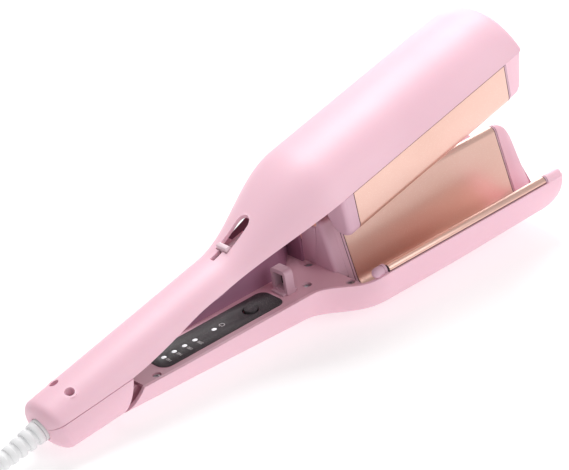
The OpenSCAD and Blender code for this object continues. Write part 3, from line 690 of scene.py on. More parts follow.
def smooth_faces(mesh: bpy.types.Mesh, sharp: float | None = None) -> None:
    """Shades a mesh smoothly, with edges over an angle kept sharp.

    Args:
        mesh: The mesh to shade.
        sharp: Angle in degrees over which an edge stays sharp, or None for no sharp edge.
    """
    mesh.polygons.foreach_set("use_smooth", [True] * len(mesh.polygons))
    if sharp is not None:
        mesh.set_sharp_from_angle(angle=math.radians(sharp))
    mesh.update()


def linked(name: str, data: bpy.types.ID) -> Object:
    """Puts data into the scene as an object."""
    made = bpy.data.objects.new(name, data)
    bpy.context.scene.collection.objects.link(made)
    return made


def plain(made: Object) -> None:
    """Turns a piece with its modifiers into a plain mesh.

    Args:
        made: The piece.
    """
    graph = bpy.context.evaluated_depsgraph_get()
    mesh = bpy.data.meshes.new_from_object(made.evaluated_get(graph), depsgraph=graph)
    made.modifiers.clear()
    old, made.data = made.data, mesh
    mesh.name = made.name
    bpy.data.meshes.remove(old)


def make_object(name: str, points: Sequence[Point], faces: Sequence[Sequence[int]]) -> Object:
    """Makes a mesh object from points and faces.

    Args:
        name: Name of the piece.
        points: Its corners.
        faces: Its faces as indices of corners.

    Returns:
        The linked object.
    """
    mesh = bpy.data.meshes.new(name)
    mesh.from_pydata([tuple(point) for point in points], [], [tuple(face) for face in faces])
    mesh.validate()
    return linked(name, mesh)


def skin_faces(rows: int, columns: int, base: int = 0, loop: bool = False) -> list[tuple[int, ...]]:
    """Faces between neighbouring rings of a grid of points.

    Args:
        rows: Number of rings.
        columns: Number of points in each ring.
        base: Index of the first point.
        loop: Whether each ring closes on itself.

    Returns:
        The quads of the grid.
    """
    faces = []
    for row in range(rows - 1):
        for column in range(columns if loop else columns - 1):
            after = (column + 1) % columns
            low, high = base + row * columns, base + (row + 1) * columns
            faces.append((low + column, low + after, high + after, high + column))
    return faces


def loft(name: str, rings: Sequence[Ring]) -> Object:
    """Joins closed rings of the same count into one closed body.

    Args:
        name: Name of the piece.
        rings: The rings from one end to the other.

    Returns:
        The lofted object.
    """
    rows, columns = len(rings), len(rings[0])
    faces = skin_faces(rows, columns, loop=True)
    faces.append(tuple(range(columns)))
    faces.append(tuple((rows - 1) * columns + index for index in range(columns)))
    made = make_object(name, [point for ring in rings for point in ring], faces)
    turned_normals(made.data)
    return made


def prism(name: str, outline: Sequence[Flat], low: float, high: float, axis: str = "z") -> Object:
    """Pushes a flat outline along an axis.

    Args:
        name: Name of the piece.
        outline: Corners of the outline in the two other axes, in order.
        low: Where the prism starts.
        high: Where it ends.
        axis: The axis along which it is pushed.

    Returns:
        The closed prism.
    """
    order = {"x": (2, 0, 1), "y": (0, 2, 1), "z": (0, 1, 2)}[axis]
    rings = [[tuple((*point, level)[place] for place in order) for point in outline] for level in (low, high)]
    return loft(name, rings)


def turned_body(name: str, profile: Sequence[Flat], steps: int = 48) -> Object:
    """Turns a profile about the vertical axis.

    Args:
        name: Name of the piece.
        profile: Points of radius and height; a radius of 0 closes the end.
        steps: Steps round the axis.

    Returns:
        The turned object.
    """
    points: list[Point] = []
    rings: list[list[int]] = []
    for radius, height in profile:
        if radius <= 1e-6:
            rings.append([len(points)])
            points.append((0.0, 0.0, height))
            continue
        rings.append(list(range(len(points), len(points) + steps)))
        for index in range(steps):
            angle = math.tau * index / steps
            points.append((radius * math.cos(angle), radius * math.sin(angle), height))
    faces: list[tuple[int, ...]] = []
    for low, high in zip(rings, rings[1:]):
        for index in range(steps):
            after = (index + 1) % steps
            corners = (
                low[index % len(low)],
                low[after % len(low)],
                high[after % len(high)],
                high[index % len(high)],
            )
            faces.append(tuple(dict.fromkeys(corners)))
    made = make_object(name, points, faces)
    turned_normals(made.data)
    return made


def cut(target: Object, tools: Iterable[Object], join: bool = False) -> None:
    """Subtracts or adds tool objects and removes them.

    Args:
        target: The object that is cut.
        tools: The objects that cut it.
        join: Whether the tools are added instead.
    """
    for tool in tools:
        step = target.modifiers.new("cut", "BOOLEAN")
        step.operation = "UNION" if join else "DIFFERENCE"
        step.solver = "EXACT"
        step.object = tool
        plain(target)
        bpy.data.objects.remove(tool)


def bevel(made: Object, width: float, segments: int = 3, angle: float = 50.0) -> None:
    """Rounds the sharp edges of a piece.

    Args:
        made: The piece.
        width: Width of the rounding in the piece's own units.
        segments: Steps across the rounding.
        angle: Angle in degrees over which an edge is rounded.
    """
    step = made.modifiers.new("edge", "BEVEL")
    step.width = width
    step.segments = segments
    step.limit_method = "ANGLE"
    step.angle_limit = math.radians(angle)
    step.harden_normals = False
    plain(made)


def joined(name: str, parts: Sequence[Object]) -> Object:
    """Joins separate meshes into one piece.

    Args:
        name: Name of the joined piece.
        parts: The objects that are joined; they are removed.

    Returns:
        The joined object.
    """
    shape = bmesh.new()
    for part in parts:
        part.data.transform(part.matrix_basis)
        shape.from_mesh(part.data)
    mesh = bpy.data.meshes.new(name)
    shape.to_mesh(mesh)
    shape.free()
    for part in parts:
        bpy.data.objects.remove(part)
    return linked(name, mesh)


def dress(
    made: Object, body: Body, finish: str, slot: str, nodes: Sequence[str] = (), sharp: float | None = 30.0
) -> Object:
    """Shades a piece that is in place and hangs it on its body.

    Args:
        made: The piece, in packed metres.
        body: The body that carries it.
        finish: Name of its finish.
        slot: The record's slot of its finish; not used.
        nodes: The solids that it stands for.
        sharp: Angle over which an edge stays sharp, or None.

    Returns:
        The piece.
    """
    smooth_faces(made.data, sharp)
    made.data.materials.clear()
    made.data.materials.append(MATERIALS[finish])
    if nodes:
        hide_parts(*nodes)
    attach(made, body.value)
    LOG.info("%s: %d faces on %s", made.name, len(made.data.polygons), body.value)
    return made


def settle(made: Object, body: Body, *looks: object) -> Object:
    """Moves a piece from its arm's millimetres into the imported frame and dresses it.

    Args:
        made: The piece.
        body: The body that carries it.
        looks: Its finish, slot, solids and sharp angle, as dress takes them.

    Returns:
        The piece.
    """
    made.data.transform(STANCE.matrix(body) @ made.matrix_basis)
    made.matrix_basis = Matrix.Identity(4)
    return dress(made, body, *looks)


# ---------------------------------------------------------------- repeated pieces


@dataclass(frozen=True)
class Repeater:
    """Geometry Nodes that set copies of one unit on marked places.

    Attributes:
        name: Name of the node tree.
        seed: Seed of the random turns.
    """

    name: str = "repeat_on_places"
    seed: int = 7

    def tree(self) -> tuple[bpy.types.NodeTree, dict[str, str]]:
        """Builds the tree.

        Returns:
            The tree and the identifier of each named input.
        """
        made = bpy.data.node_groups.new(self.name, "GeometryNodeTree")
        sockets = made.interface
        sockets.new_socket("Geometry", in_out="INPUT", socket_type="NodeSocketGeometry")
        inputs = {
            "Unit": sockets.new_socket("Unit", in_out="INPUT", socket_type="NodeSocketObject"),
            "Most turn": sockets.new_socket("Most turn", in_out="INPUT", socket_type="NodeSocketFloat"),
            "Seed": sockets.new_socket("Seed", in_out="INPUT", socket_type="NodeSocketInt"),
            "Finish": sockets.new_socket("Finish", in_out="INPUT", socket_type="NodeSocketMaterial"),
        }
        sockets.new_socket("Geometry", in_out="OUTPUT", socket_type="NodeSocketGeometry")
        entry = made.nodes.new("NodeGroupInput")
        points = made.nodes.new("GeometryNodeMeshToPoints")
        unit = made.nodes.new("GeometryNodeObjectInfo")
        chance = made.nodes.new("FunctionNodeRandomValue")
        chance.data_type = "FLOAT"
        turn = made.nodes.new("ShaderNodeCombineXYZ")
        copies = made.nodes.new("GeometryNodeInstanceOnPoints")
        real = made.nodes.new("GeometryNodeRealizeInstances")
        finish = made.nodes.new("GeometryNodeSetMaterial")
        leave = made.nodes.new("NodeGroupOutput")
        floats = [socket for socket in chance.inputs if socket.type == "VALUE" and socket.enabled]
        for start, end in (
            (entry.outputs["Geometry"], points.inputs["Mesh"]),
            (entry.outputs["Unit"], unit.inputs["Object"]),
            (entry.outputs["Most turn"], floats[1]),
            (entry.outputs["Seed"], chance.inputs["Seed"]),
            ([socket for socket in chance.outputs if socket.enabled][0], turn.inputs["Z"]),
            (points.outputs["Points"], copies.inputs["Points"]),
            (unit.outputs["Geometry"], copies.inputs["Instance"]),
            (turn.outputs["Vector"], copies.inputs["Rotation"]),
            (copies.outputs["Instances"], real.inputs["Geometry"]),
            (real.outputs["Geometry"], finish.inputs["Geometry"]),
            (entry.outputs["Finish"], finish.inputs["Material"]),
            (finish.outputs["Geometry"], leave.inputs["Geometry"]),
        ):
            made.links.new(start, end)
        return made, {name: socket.identifier for name, socket in inputs.items()}

    def build(
        self, name: str, unit: Object, places: Sequence[Point], finish: str, most_turn: float = 0.0
    ) -> Object:
        """Makes one plain mesh of the unit's copies.

        Args:
            name: Name of the piece.
            unit: The unit, which is used up.
            places: Where its copies stand.
            finish: Name of their finish.
            most_turn: Largest random turn about the unit's own axis, in radians.

        Returns:
            The piece.
        """
        host = make_object(name, list(places), [])
        tree, names = self.tree()
        change = host.modifiers.new("repeat", "NODES")
        change.node_group = tree
        change[names["Unit"]] = unit
        change[names["Most turn"]] = most_turn
        change[names["Seed"]] = self.seed
        change[names["Finish"]] = MATERIALS[finish]
        plain(host)
        bpy.data.objects.remove(unit)
        return host


REPEATER = Repeater()


# ---------------------------------------------------------------- finishes


class Tree:
    """Writes the nodes of one shader tree."""

    def __init__(self, tree: bpy.types.NodeTree) -> None:
        """Starts on an empty tree.

        Args:
            tree: The tree that is filled.
        """
        self.tree = tree
        self.count = 0

    def feed(self, entry: Socket, value: object) -> None:
        """Links an input to a socket, or sets it to a plain value.

        Args:
            entry: The input.
            value: The socket or value.
        """
        if isinstance(value, Socket):
            self.tree.links.new(value, entry)
        else:
            entry.default_value = value

    def node(self, kind: str, **values: object) -> bpy.types.Node:
        """Adds a node.

        Args:
            kind: The node's type without the ShaderNode part.
            values: Its settings; a name that starts with in_ feeds an input.

        Returns:
            The node.
        """
        made = self.tree.nodes.new("ShaderNode" + kind)
        made.location = (220 * self.count, 0)
        self.count += 1
        for name, value in values.items():
            if name.startswith("in_"):
                self.feed(made.inputs[name[3:].replace("_", " ")], value)
            else:
                setattr(made, name, value)
        return made

    def group(
        self, tree: bpy.types.NodeTree, place: Socket, **values: float
    ) -> Socket:
        """Adds a shared group.

        Args:
            tree: The group's tree.
            place: Where it works.
            values: Its other inputs.

        Returns:
            What the group gives.
        """
        inputs = {"in_" + name: value for name, value in values.items()}
        return self.node("Group", node_tree=tree, in_Vector=place, **inputs).outputs[0]

    def blend(self, share: Socket, *sides: Colour | Socket) -> Socket:
        """Mixes two colours, each a constant or a socket, by a share.

        Args:
            share: Share of the second.
            sides: The two colours.

        Returns:
            The mixed colour.
        """
        made = self.node("Mix", data_type="RGBA", in_Factor=share)
        for side, value in zip((6, 7), sides):
            self.feed(made.inputs[side], value if isinstance(value, Socket) else (*value, 1))
        return made.outputs[2]

    def noise(
        self, place: Socket, scale: Socket, detail: float
    ) -> Socket:
        """Adds noise at a place, of a scale per metre and with a number of octaves."""
        return self.node("TexNoise", in_Detail=detail, in_Vector=place, in_Scale=scale).outputs["Fac"]


def group_tree(
    name: str, sizes: dict[str, float], result: tuple[str, str]
) -> tuple[Tree, bpy.types.NodeOutputs, Socket]:
    """Makes an empty shared shader group.

    Args:
        name: Name of the group.
        sizes: Name and default of each number that it takes beside a place.
        result: Name and socket type of what it gives.

    Returns:
        The writer of its tree, what the tree is given, and the socket of its result.
    """
    tree = bpy.data.node_groups.new(name, "ShaderNodeTree")
    tree.interface.new_socket("Vector", in_out="INPUT", socket_type="NodeSocketVector")
    for label, value in sizes.items():
        tree.interface.new_socket(label, in_out="INPUT", socket_type="NodeSocketFloat").default_value = value
    tree.interface.new_socket(result[0], in_out="OUTPUT", socket_type="NodeSocket" + result[1])
    start, end = tree.nodes.new("NodeGroupInput"), tree.nodes.new("NodeGroupOutput")
    return Tree(tree), start.outputs, end.inputs[0]


def empty_material(name: str) -> tuple[bpy.types.Material, Tree]:
    """Makes a material with an empty tree.

    Args:
        name: Name of the material.

    Returns:
        The material and the writer of its tree.
    """
    made = bpy.data.materials.new(name)
    made.use_nodes = True
    made.node_tree.nodes.clear()
    return made, Tree(made.node_tree)


class SharedEffects:
    """The groups that every finish draws on: fine grain, slow drift of tone, and scattered specks."""

    def __init__(self) -> None:
        """Builds the groups."""
        self.grain = self.build_grain()
        self.drift = self.build_drift()
        self.specks = self.build_specks()

    @staticmethod
    def build_grain() -> bpy.types.NodeTree:
        """Makes the fine surface grain, as a normal."""
        sizes = {"Scale": 4000, "Strength": 0.1, "Depth": 2e-5}
        maker, given, result = group_tree("fine_grain", sizes, ("Normal", "Vector"))
        height = maker.noise(given["Vector"], given["Scale"], 2.0)
        bump = maker.node("Bump", in_Height=height, in_Strength=given["Strength"], in_Distance=given["Depth"])
        maker.feed(result, bump.outputs["Normal"])
        return maker.tree

    @staticmethod
    def build_drift() -> bpy.types.NodeTree:
        """Makes the slow change of tone over a surface, as a value about 0.5."""
        maker, given, result = group_tree("slow_drift", {"Scale": 20}, ("Value", "Float"))
        wide = maker.noise(given["Vector"], given["Scale"], 4.0)
        ramp = maker.node(
            "MapRange", interpolation_type="SMOOTHSTEP", in_Value=wide, in_From_Min=0.3, in_From_Max=0.7
        )
        maker.feed(result, ramp.outputs["Result"])
        return maker.tree

    @staticmethod
    def build_specks() -> bpy.types.NodeTree:
        """Makes scattered small specks, as a mask."""
        maker, given, result = group_tree("fine_specks", {"Scale": 3000, "Size": 0.3}, ("Mask", "Float"))
        cells = maker.node("TexVoronoi", in_Vector=given["Vector"], in_Scale=given["Scale"])
        under = maker.node("Math", operation="LESS_THAN")
        maker.feed(under.inputs[0], cells.outputs["Distance"])
        maker.feed(under.inputs[1], given["Size"])
        maker.feed(result, under.outputs[0])
        return maker.tree


EFFECTS = SharedEffects()


@dataclass(frozen=True)
class Finish:
    """One surface finish.

    Attributes:
        name: Name of the material.
        base: Its usual colour.
        deep: Its colour where the tone drifts down.
        rough: Its roughness where the tone is usual.
        rough_deep: Its roughness where the tone drifts down.
        metal: Its share of metal.
        grain: Strength of its grain.
        grain_scale: Scale of its grain per metre.
        drift_scale: Scale of its slow change of tone per metre.
        speck: Colour of its specks, or None for no specks.
        speck_scale: Scale of its specks per metre.
        speck_size: Size of a speck as a share of its cell.
        glow: Strength of its own light.
        specular: Strength of its plain reflection.
        scatter: Weight of the light scattered under its surface.
        scatter_depth: Depth of that scatter, in metres.
    """

    name: str
    base: Colour
    deep: Colour
    rough: float = 0.5
    rough_deep: float = 0.58
    metal: float = 0.0
    grain: float = 0.12
    grain_scale: float = 5200.0
    drift_scale: float = 18.0
    speck: Colour | None = None
    speck_scale: float = 3000.0
    speck_size: float = 0.28
    glow: float = 0.0
    specular: float = 0.5
    scatter: float = 0.0
    scatter_depth: float = 0.002

    def build(self) -> bpy.types.Material:
        """Makes the material.

        Returns:
            The material with its node tree.
        """
        made, maker = empty_material(self.name)
        place = maker.node("TexCoord").outputs["Object"]
        drift = maker.group(EFFECTS.drift, place, Scale=self.drift_scale)
        tone = maker.blend(drift, self.base, self.deep)
        if self.speck is not None:
            mask = maker.group(EFFECTS.specks, place, Scale=self.speck_scale, Size=self.speck_size)
            tone = maker.blend(mask, tone, self.speck)
        rough = maker.node("MapRange", in_Value=drift, in_To_Min=self.rough, in_To_Max=self.rough_deep)
        shader = maker.node(
            "BsdfPrincipled",
            in_Base_Color=tone,
            in_Metallic=self.metal,
            in_Roughness=rough.outputs["Result"],
            in_Normal=maker.group(EFFECTS.grain, place, Scale=self.grain_scale, Strength=self.grain),
            in_Specular_IOR_Level=self.specular,
            in_Subsurface_Weight=self.scatter,
            in_Subsurface_Scale=self.scatter_depth,
        )
        if self.glow:
            maker.feed(shader.inputs["Emission Color"], tone)
            maker.feed(shader.inputs["Emission Strength"], self.glow)
        maker.node("OutputMaterial", in_Surface=shader.outputs["BSDF"])
        return made


FINISHES = {
    finish.name: finish
    for finish in (
        Finish(
            "pink_shell", (0.92, 0.575, 0.675), (0.89, 0.545, 0.645), 0.42, 0.48, specular=0.7, scatter=0.05
        ),
        Finish("inner_plastic", (0.78, 0.47, 0.55), (0.73, 0.43, 0.51), 0.52, 0.6),
        Finish("frame_plastic", (0.72, 0.45, 0.55), (0.67, 0.41, 0.51), 0.45, 0.52),
        # Painted shade: dark plum for the far wall, which stands where the far side lies in shadow.
        Finish("wall_plastic", (0.40, 0.19, 0.29), (0.35, 0.16, 0.25), 0.5, 0.6),
        # Painted shade: dark plum for the upper inner cover, which lies in shadow under the arm.
        Finish("shade_plastic", (0.20, 0.07, 0.11), (0.16, 0.05, 0.09), 0.5, 0.6),
        Finish("catch_plastic", (0.66, 0.42, 0.50), (0.61, 0.38, 0.46), 0.45, 0.52),
        Finish("lock_plastic", (0.80, 0.60, 0.66), (0.76, 0.56, 0.62), 0.4, 0.46),
        Finish(
            "rose_plate", (0.85, 0.56, 0.48), (0.81, 0.52, 0.44), 0.31, 0.36, 0.72, 0.05,
            speck=(0.95, 0.78, 0.72), speck_scale=1500, speck_size=0.16,
        ),
        Finish("heater_ceramic", (0.80, 0.79, 0.75), (0.70, 0.69, 0.65), 0.6, 0.7),
        Finish("sensor_body", (0.30, 0.16, 0.10), (0.22, 0.12, 0.08), 0.35, 0.45),
        Finish("screw_steel", (0.55, 0.55, 0.57), (0.42, 0.42, 0.44), 0.3, 0.42, 1.0),
        Finish("plain_steel", (0.62, 0.62, 0.63), (0.5, 0.5, 0.52), 0.3, 0.4, 1.0),
        Finish("spring_steel", (0.45, 0.45, 0.47), (0.33, 0.33, 0.35), 0.28, 0.36, 1.0),
        Finish("bush_brass", (0.80, 0.58, 0.28), (0.66, 0.46, 0.2), 0.3, 0.4, 1.0),
        Finish("white_plastic", (0.80, 0.80, 0.80), (0.77, 0.77, 0.78), 0.42, 0.5),
        Finish("white_flex", (0.87, 0.87, 0.875), (0.84, 0.84, 0.85), 0.5, 0.58, grain=0.2),
        Finish("pin_brass", (0.83, 0.70, 0.42), (0.72, 0.6, 0.34), 0.22, 0.32, 1.0),
        Finish(
            "charcoal_panel", (0.045, 0.040, 0.044), (0.036, 0.032, 0.036), 0.55, 0.6,
            speck=(0.22, 0.19, 0.20), speck_scale=1900, speck_size=0.24,
        ),
        # Painted glow: the lenses' own light makes them bright white, though no lamp is inside them.
        Finish("lens_white", (0.86, 0.88, 0.9), (0.8, 0.82, 0.85), 0.2, 0.25, glow=0.6),
        Finish("board_green", (0.02, 0.16, 0.07), (0.015, 0.12, 0.05), 0.3, 0.4),
        Finish("black_plastic", (0.022, 0.021, 0.024), (0.016, 0.015, 0.018), 0.25, 0.33),
        Finish("label_ink", (0.80, 0.80, 0.80), (0.76, 0.76, 0.76), 0.5, 0.6),
        Finish("seam_shadow", (0.05, 0.025, 0.03), (0.04, 0.02, 0.025), 0.7, 0.8),
    )
}
MATERIALS = {name: finish.build() for name, finish in FINISHES.items()}


# ---------------------------------------------------------------- camera, lamps and table


@dataclass(frozen=True)
class Viewpoint:
    """The camera, aimed in the lower arm's own frame.

    Attributes:
        azimuth: Direction of the view round the vertical, in degrees.
        elevation: Height of the camera over the arm, in degrees.
        roll: Turn of the image, in degrees.
        distance: Distance to the aim, in millimetres.
        focal: Focal length, in pixels of the image's width.
        aim: The point that the camera was set out on, in millimetres.
        aim_pixel: Where that point lies in the image.
        sensor: Width of the sensor, in millimetres.
        reach: Nearest and farthest distance that is seen, in metres.
    """

    azimuth: float = 35.66
    elevation: float = 29.21
    roll: float = 9.76
    distance: float = 1669.0
    focal: float = 3171.0
    aim: Point = (170.0, 0.0, 0.0)
    aim_pixel: Flat = (298.66, 282.68)
    sensor: float = 36.0
    reach: Flat = (0.1, 20.0)

    def place(self) -> Object:
        """Makes the scene's camera.

        Returns:
            The camera object.
        """
        azimuth, elevation = math.radians(self.azimuth), math.radians(self.elevation)
        level = math.cos(elevation)
        look = Vector((math.sin(azimuth) * level, math.cos(azimuth) * level, -math.sin(elevation)))
        right = Vector((math.cos(azimuth), -math.sin(azimuth), 0))
        upward = right.cross(look)
        roll = math.radians(self.roll)
        across = right * math.cos(roll) - upward * math.sin(roll)
        over = right * math.sin(roll) + upward * math.cos(roll)
        seat = Vector(self.aim) - look * self.distance
        aside = self.aim_pixel[0] - IMAGE_WIDTH / 2
        down = self.aim_pixel[1] - IMAGE_HEIGHT / 2
        forward = (look * self.focal - across * aside + over * down).normalized()
        over = (over - forward * over.dot(forward)).normalized()
        matrix = STANCE.matrix(Body.LOWER)
        turn = matrix.to_3x3().normalized()
        forward, over = turn @ forward, turn @ over
        data = bpy.data.cameras.new("camera")
        data.sensor_fit = "HORIZONTAL"
        data.sensor_width = self.sensor
        data.lens = self.focal / IMAGE_WIDTH * self.sensor
        data.clip_start, data.clip_end = self.reach
        made = linked("camera", data)
        axes = Matrix((forward.cross(over), over, -forward)).transposed()
        made.matrix_world = Matrix.Translation(matrix @ seat) @ axes.to_4x4()
        bpy.context.scene.camera = made
        return made


@dataclass(frozen=True)
class Lamp:
    """One soft area lamp.

    Attributes:
        name: Its name.
        place: Where it hangs, in metres.
        aim: What it shines on, in metres.
        size: Width of its square face, in metres.
        power: Its power in watts.
    """

    name: str
    place: Point
    aim: Point
    size: float
    power: float

    def hang(self) -> Object:
        """Makes the lamp."""
        data = bpy.data.lights.new(self.name, "AREA")
        data.shape = "SQUARE"
        data.size = self.size
        data.energy = self.power
        made = linked(self.name, data)
        line = Vector(self.aim) - Vector(self.place)
        made.rotation_mode = "QUATERNION"
        made.rotation_quaternion = line.to_track_quat("-Z", "Y")
        made.location = self.place
        return made


@dataclass(frozen=True)
class Studio:
    """The pale table, the soft lamps and the white surroundings.

    Attributes:
        table_half: Half width of the table top, in metres.
        table_tones: Its usual brightness and its brightness where the tone drifts down.
        drift_scale: Scale of that drift per metre.
        table_glow: Its own faint light, which keeps its shadows pale.
        ambient: Strength of the surroundings as a lamp.
        lamps: The lamps.
    """

    table_half: float = 6.0
    table_tones: Flat = (0.62, 0.61)
    drift_scale: float = 2.0
    table_glow: float = 0.5
    ambient: float = 0.5
    lamps: tuple[Lamp, ...] = (
        Lamp("key_lamp", (0.35, 0.45, 1.1), (0.08, 0, 0.06), 0.7, 10.5),
        Lamp("back_lamp", (1.05, 1.0, 0.45), (0.0, 0, 0.08), 0.8, 6.6),
        Lamp("fill_lamp", (0.35, -1.2, 0.75), (0.08, 0, 0.05), 0.8, 4.6),
    )

    def table(self) -> Object:
        """Makes the table top."""
        half = self.table_half
        corners = [(-half, -half, 0.0), (half, -half, 0.0), (half, half, 0.0), (-half, half, 0.0)]
        made = make_object("table", corners, [(0, 1, 2, 3)])
        made.data.materials.append(self.table_finish())
        return made

    def table_finish(self) -> bpy.types.Material:
        """Makes the pale matte finish of the table."""
        made, maker = empty_material("table_matte")
        place = maker.node("TexCoord").outputs["Object"]
        drift = maker.group(EFFECTS.drift, place, Scale=self.drift_scale)
        shader = maker.node(
            "BsdfPrincipled",
            in_Base_Color=maker.blend(drift, *((tone, tone, tone) for tone in self.table_tones)),
            in_Roughness=0.9,
            in_Specular_IOR_Level=0.1,
            in_Emission_Color=WHITE,
            in_Emission_Strength=self.table_glow,
        )
        maker.node("OutputMaterial", in_Surface=shader.outputs["BSDF"])
        return made

    def surroundings(self) -> None:
        """Makes the world: white to the camera and a soft lamp to everything else."""
        world = bpy.context.scene.world or bpy.data.worlds.new("world")
        bpy.context.scene.world = world
        world.use_nodes = True
        world.node_tree.nodes.clear()
        maker = Tree(world.node_tree)
        path = maker.node("LightPath")
        either = maker.node("MixShader", in_Fac=path.outputs["Is Camera Ray"])
        for side, strength in ((1, self.ambient), (2, 1.0)):
            light = maker.node("Background", in_Color=WHITE, in_Strength=strength)
            maker.feed(either.inputs[side], light.outputs["Background"])
        maker.node("OutputWorld", in_Surface=either.outputs["Shader"])

    def build(self) -> None:
        """Sets up the table, the lamps and the surroundings."""
        bpy.context.scene.view_settings.view_transform = "Standard"
        self.table()
        for lamp in self.lamps:
            lamp.hang()
        self.surroundings()
        LOG.info("studio: %d lamps", len(self.lamps))


# ---------------------------------------------------------------- cord, coil and plug


@dataclass(frozen=True)
class Lead:
    """The mains lead: along the table out of the tail, a tight round coil, and its plug.

    Attributes:
        diameter: Thickness of the cord.
        length: Real length of the cord.
        relief_len: Length of the strain relief from the tail mouth.
        coil_x: Centre of the coil along the table.
        coil_r: Mean radius of the coil.
        layers: Layers of turns in the coil.
        shift: Turn in degrees over which the cord changes its place in the coil.
        shift_at: Where in a turn that change starts, in degrees.
        coil_turn: Whole turn of the coil, in degrees.
        end_turn: Turn over which the end rises off the coil, in degrees.
        plug_x: Where the cord enters the plug.
        plug_y: Side place of the plug.
        plug_z: Height of the plug's axis.
        per_turn: Points of the curve in a turn of the coil.
        end_steps: Points of the curve in its rise to the plug.
    """

    diameter: float = 6.4
    length: float = 1800.0
    relief_len: float = 40.0
    coil_x: float = -224.0
    coil_r: float = 33.96
    layers: int = 4
    shift: float = 96.0
    shift_at: float = 250.0
    coil_turn: float = 2798.0
    end_turn: float = 70.0
    plug_x: float = -230.0
    plug_y: float = 3.2
    plug_z: float = 32.4
    per_turn: int = 24
    end_steps: int = 6

    def out(self, x: float) -> Point:
        """A point on the tail's axis, on the table in millimetres."""
        return tuple(STANCE.upper() @ Vector((x, 0, SIZES.cord_z)))

    def state(self, index: int) -> Flat:
        """Radius and height of the cord in the coil after a number of changes.

        Args:
            index: Number of changes.

        Returns:
            Radius and height.
        """
        layer, second = divmod(index, 2)
        outer = (layer % 2 == 0) != (second == 1)
        radius = self.coil_r + self.diameter / 2 * (1 if outer else -1)
        return radius, self.diameter * (layer + 0.5)

    def wound(self, turn: float) -> Flat:
        """Radius and height of the cord at a turn of the coil, in degrees.

        Args:
            turn: The turn.

        Returns:
            Radius and height.
        """
        index = min(int((turn - self.shift_at) // 360) if turn > self.shift_at else -1, 2 * self.layers - 2)
        if index < 0:
            return self.state(0)
        share = smooth(turn, self.shift_at + 360 * index, self.shift_at + 360 * index + self.shift)
        start, end = self.state(index), self.state(index + 1)
        return mix(start[0], end[0], share), mix(start[1], end[1], share)

    def on_coil(self, turn: float, radius: float, height: float) -> Point:
        """A point of the coil at a turn in degrees, on the table in millimetres."""
        angle = math.radians(270 - turn)
        centre_y = self.state(0)[0]
        return self.coil_x + radius * math.cos(angle), centre_y + radius * math.sin(angle), height

    def route(self) -> list[Point]:
        """Centre line of the cord from the relief to the plug, on the table in millimetres."""
        points = [self.out(x) for x in (-self.relief_len + 0.5, -self.relief_len - 3)]
        points += [(-188.5, 0, 3.55), (-191, 0, 3.32), (-196, 0, 3.2), (-204, 0, 3.2), (-213, 0, 3.2)]
        count = round(self.per_turn * self.coil_turn / 360)
        for index in range(count + 1):
            turn = self.coil_turn * index / count
            points.append(self.on_coil(turn, *self.wound(turn)))
        start = self.wound(self.coil_turn)
        for index in range(1, self.end_steps + 1):
            share = index / self.end_steps
            rise = smooth(share, 0, 1)
            radius, height = mix(start[0], self.coil_r, rise), mix(start[1], self.plug_z, rise)
            points.append(self.on_coil(self.coil_turn + self.end_turn * share, radius, height))
        points.append((self.plug_x + 0.5, self.plug_y, self.plug_z))
        return points

    def build(self) -> Object:
        data = bpy.data.curves.new("mains_lead", "CURVE")
        data.dimensions = "3D"
        data.bevel_depth = self.diameter / 2 * MM
        data.bevel_resolution = 5
        data.resolution_u = 4
        data.use_fill_caps = True
        spline = data.splines.new("BEZIER")
        route = self.route()
        spline.bezier_points.add(len(route) - 1)
        for knot, place in zip(spline.bezier_points, route):
            knot.co = Vector(place) * MM
            knot.handle_left_type = knot.handle_right_type = "AUTO"
        made = linked("mains_lead", data)
        data.materials.append(MATERIALS["white_flex"])
        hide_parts("cord_lead", "cord_coil", "cord_end")
        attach(made, Body.UPPER.value)
        LOG.info("mains lead: %d knots", len(route))
        return made


def rounded(outline: Sequence[Flat], radius: float, steps: int = 5) -> list[Flat]:
    """Rounds every corner of a flat outline.

    Args:
        outline: Its corners in order.
        radius: Distance from a corner at which its rounding starts.
        steps: Steps along each rounding.

    Returns:
        The rounded outline.
    """
    points: list[Flat] = []
    count = len(outline)
    for index, corner in enumerate(outline):
        here = Vector(corner)
        ends = []
        for other in (outline[index - 1], outline[(index + 1) % count]):
            line = Vector(other) - here
            ends.append(here + line.normalized() * min(radius, line.length * 0.48))
        for step in range(steps + 1):
            share = step / steps
            spot = ends[0] * (1 - share) ** 2 + here * (2 * share * (1 - share)) + ends[1] * share**2
            points.append((spot.x, spot.y))
    return points


def block(name: str, low: Point, high: Point) -> Object:
    """Makes a box between two corners."""
    outline = [(low[0], low[1]), (high[0], low[1]), (high[0], high[1]), (low[0], high[1])]
    return prism(name, outline, low[2], high[2])


# ---------------------------------------------------------------- moulded shells


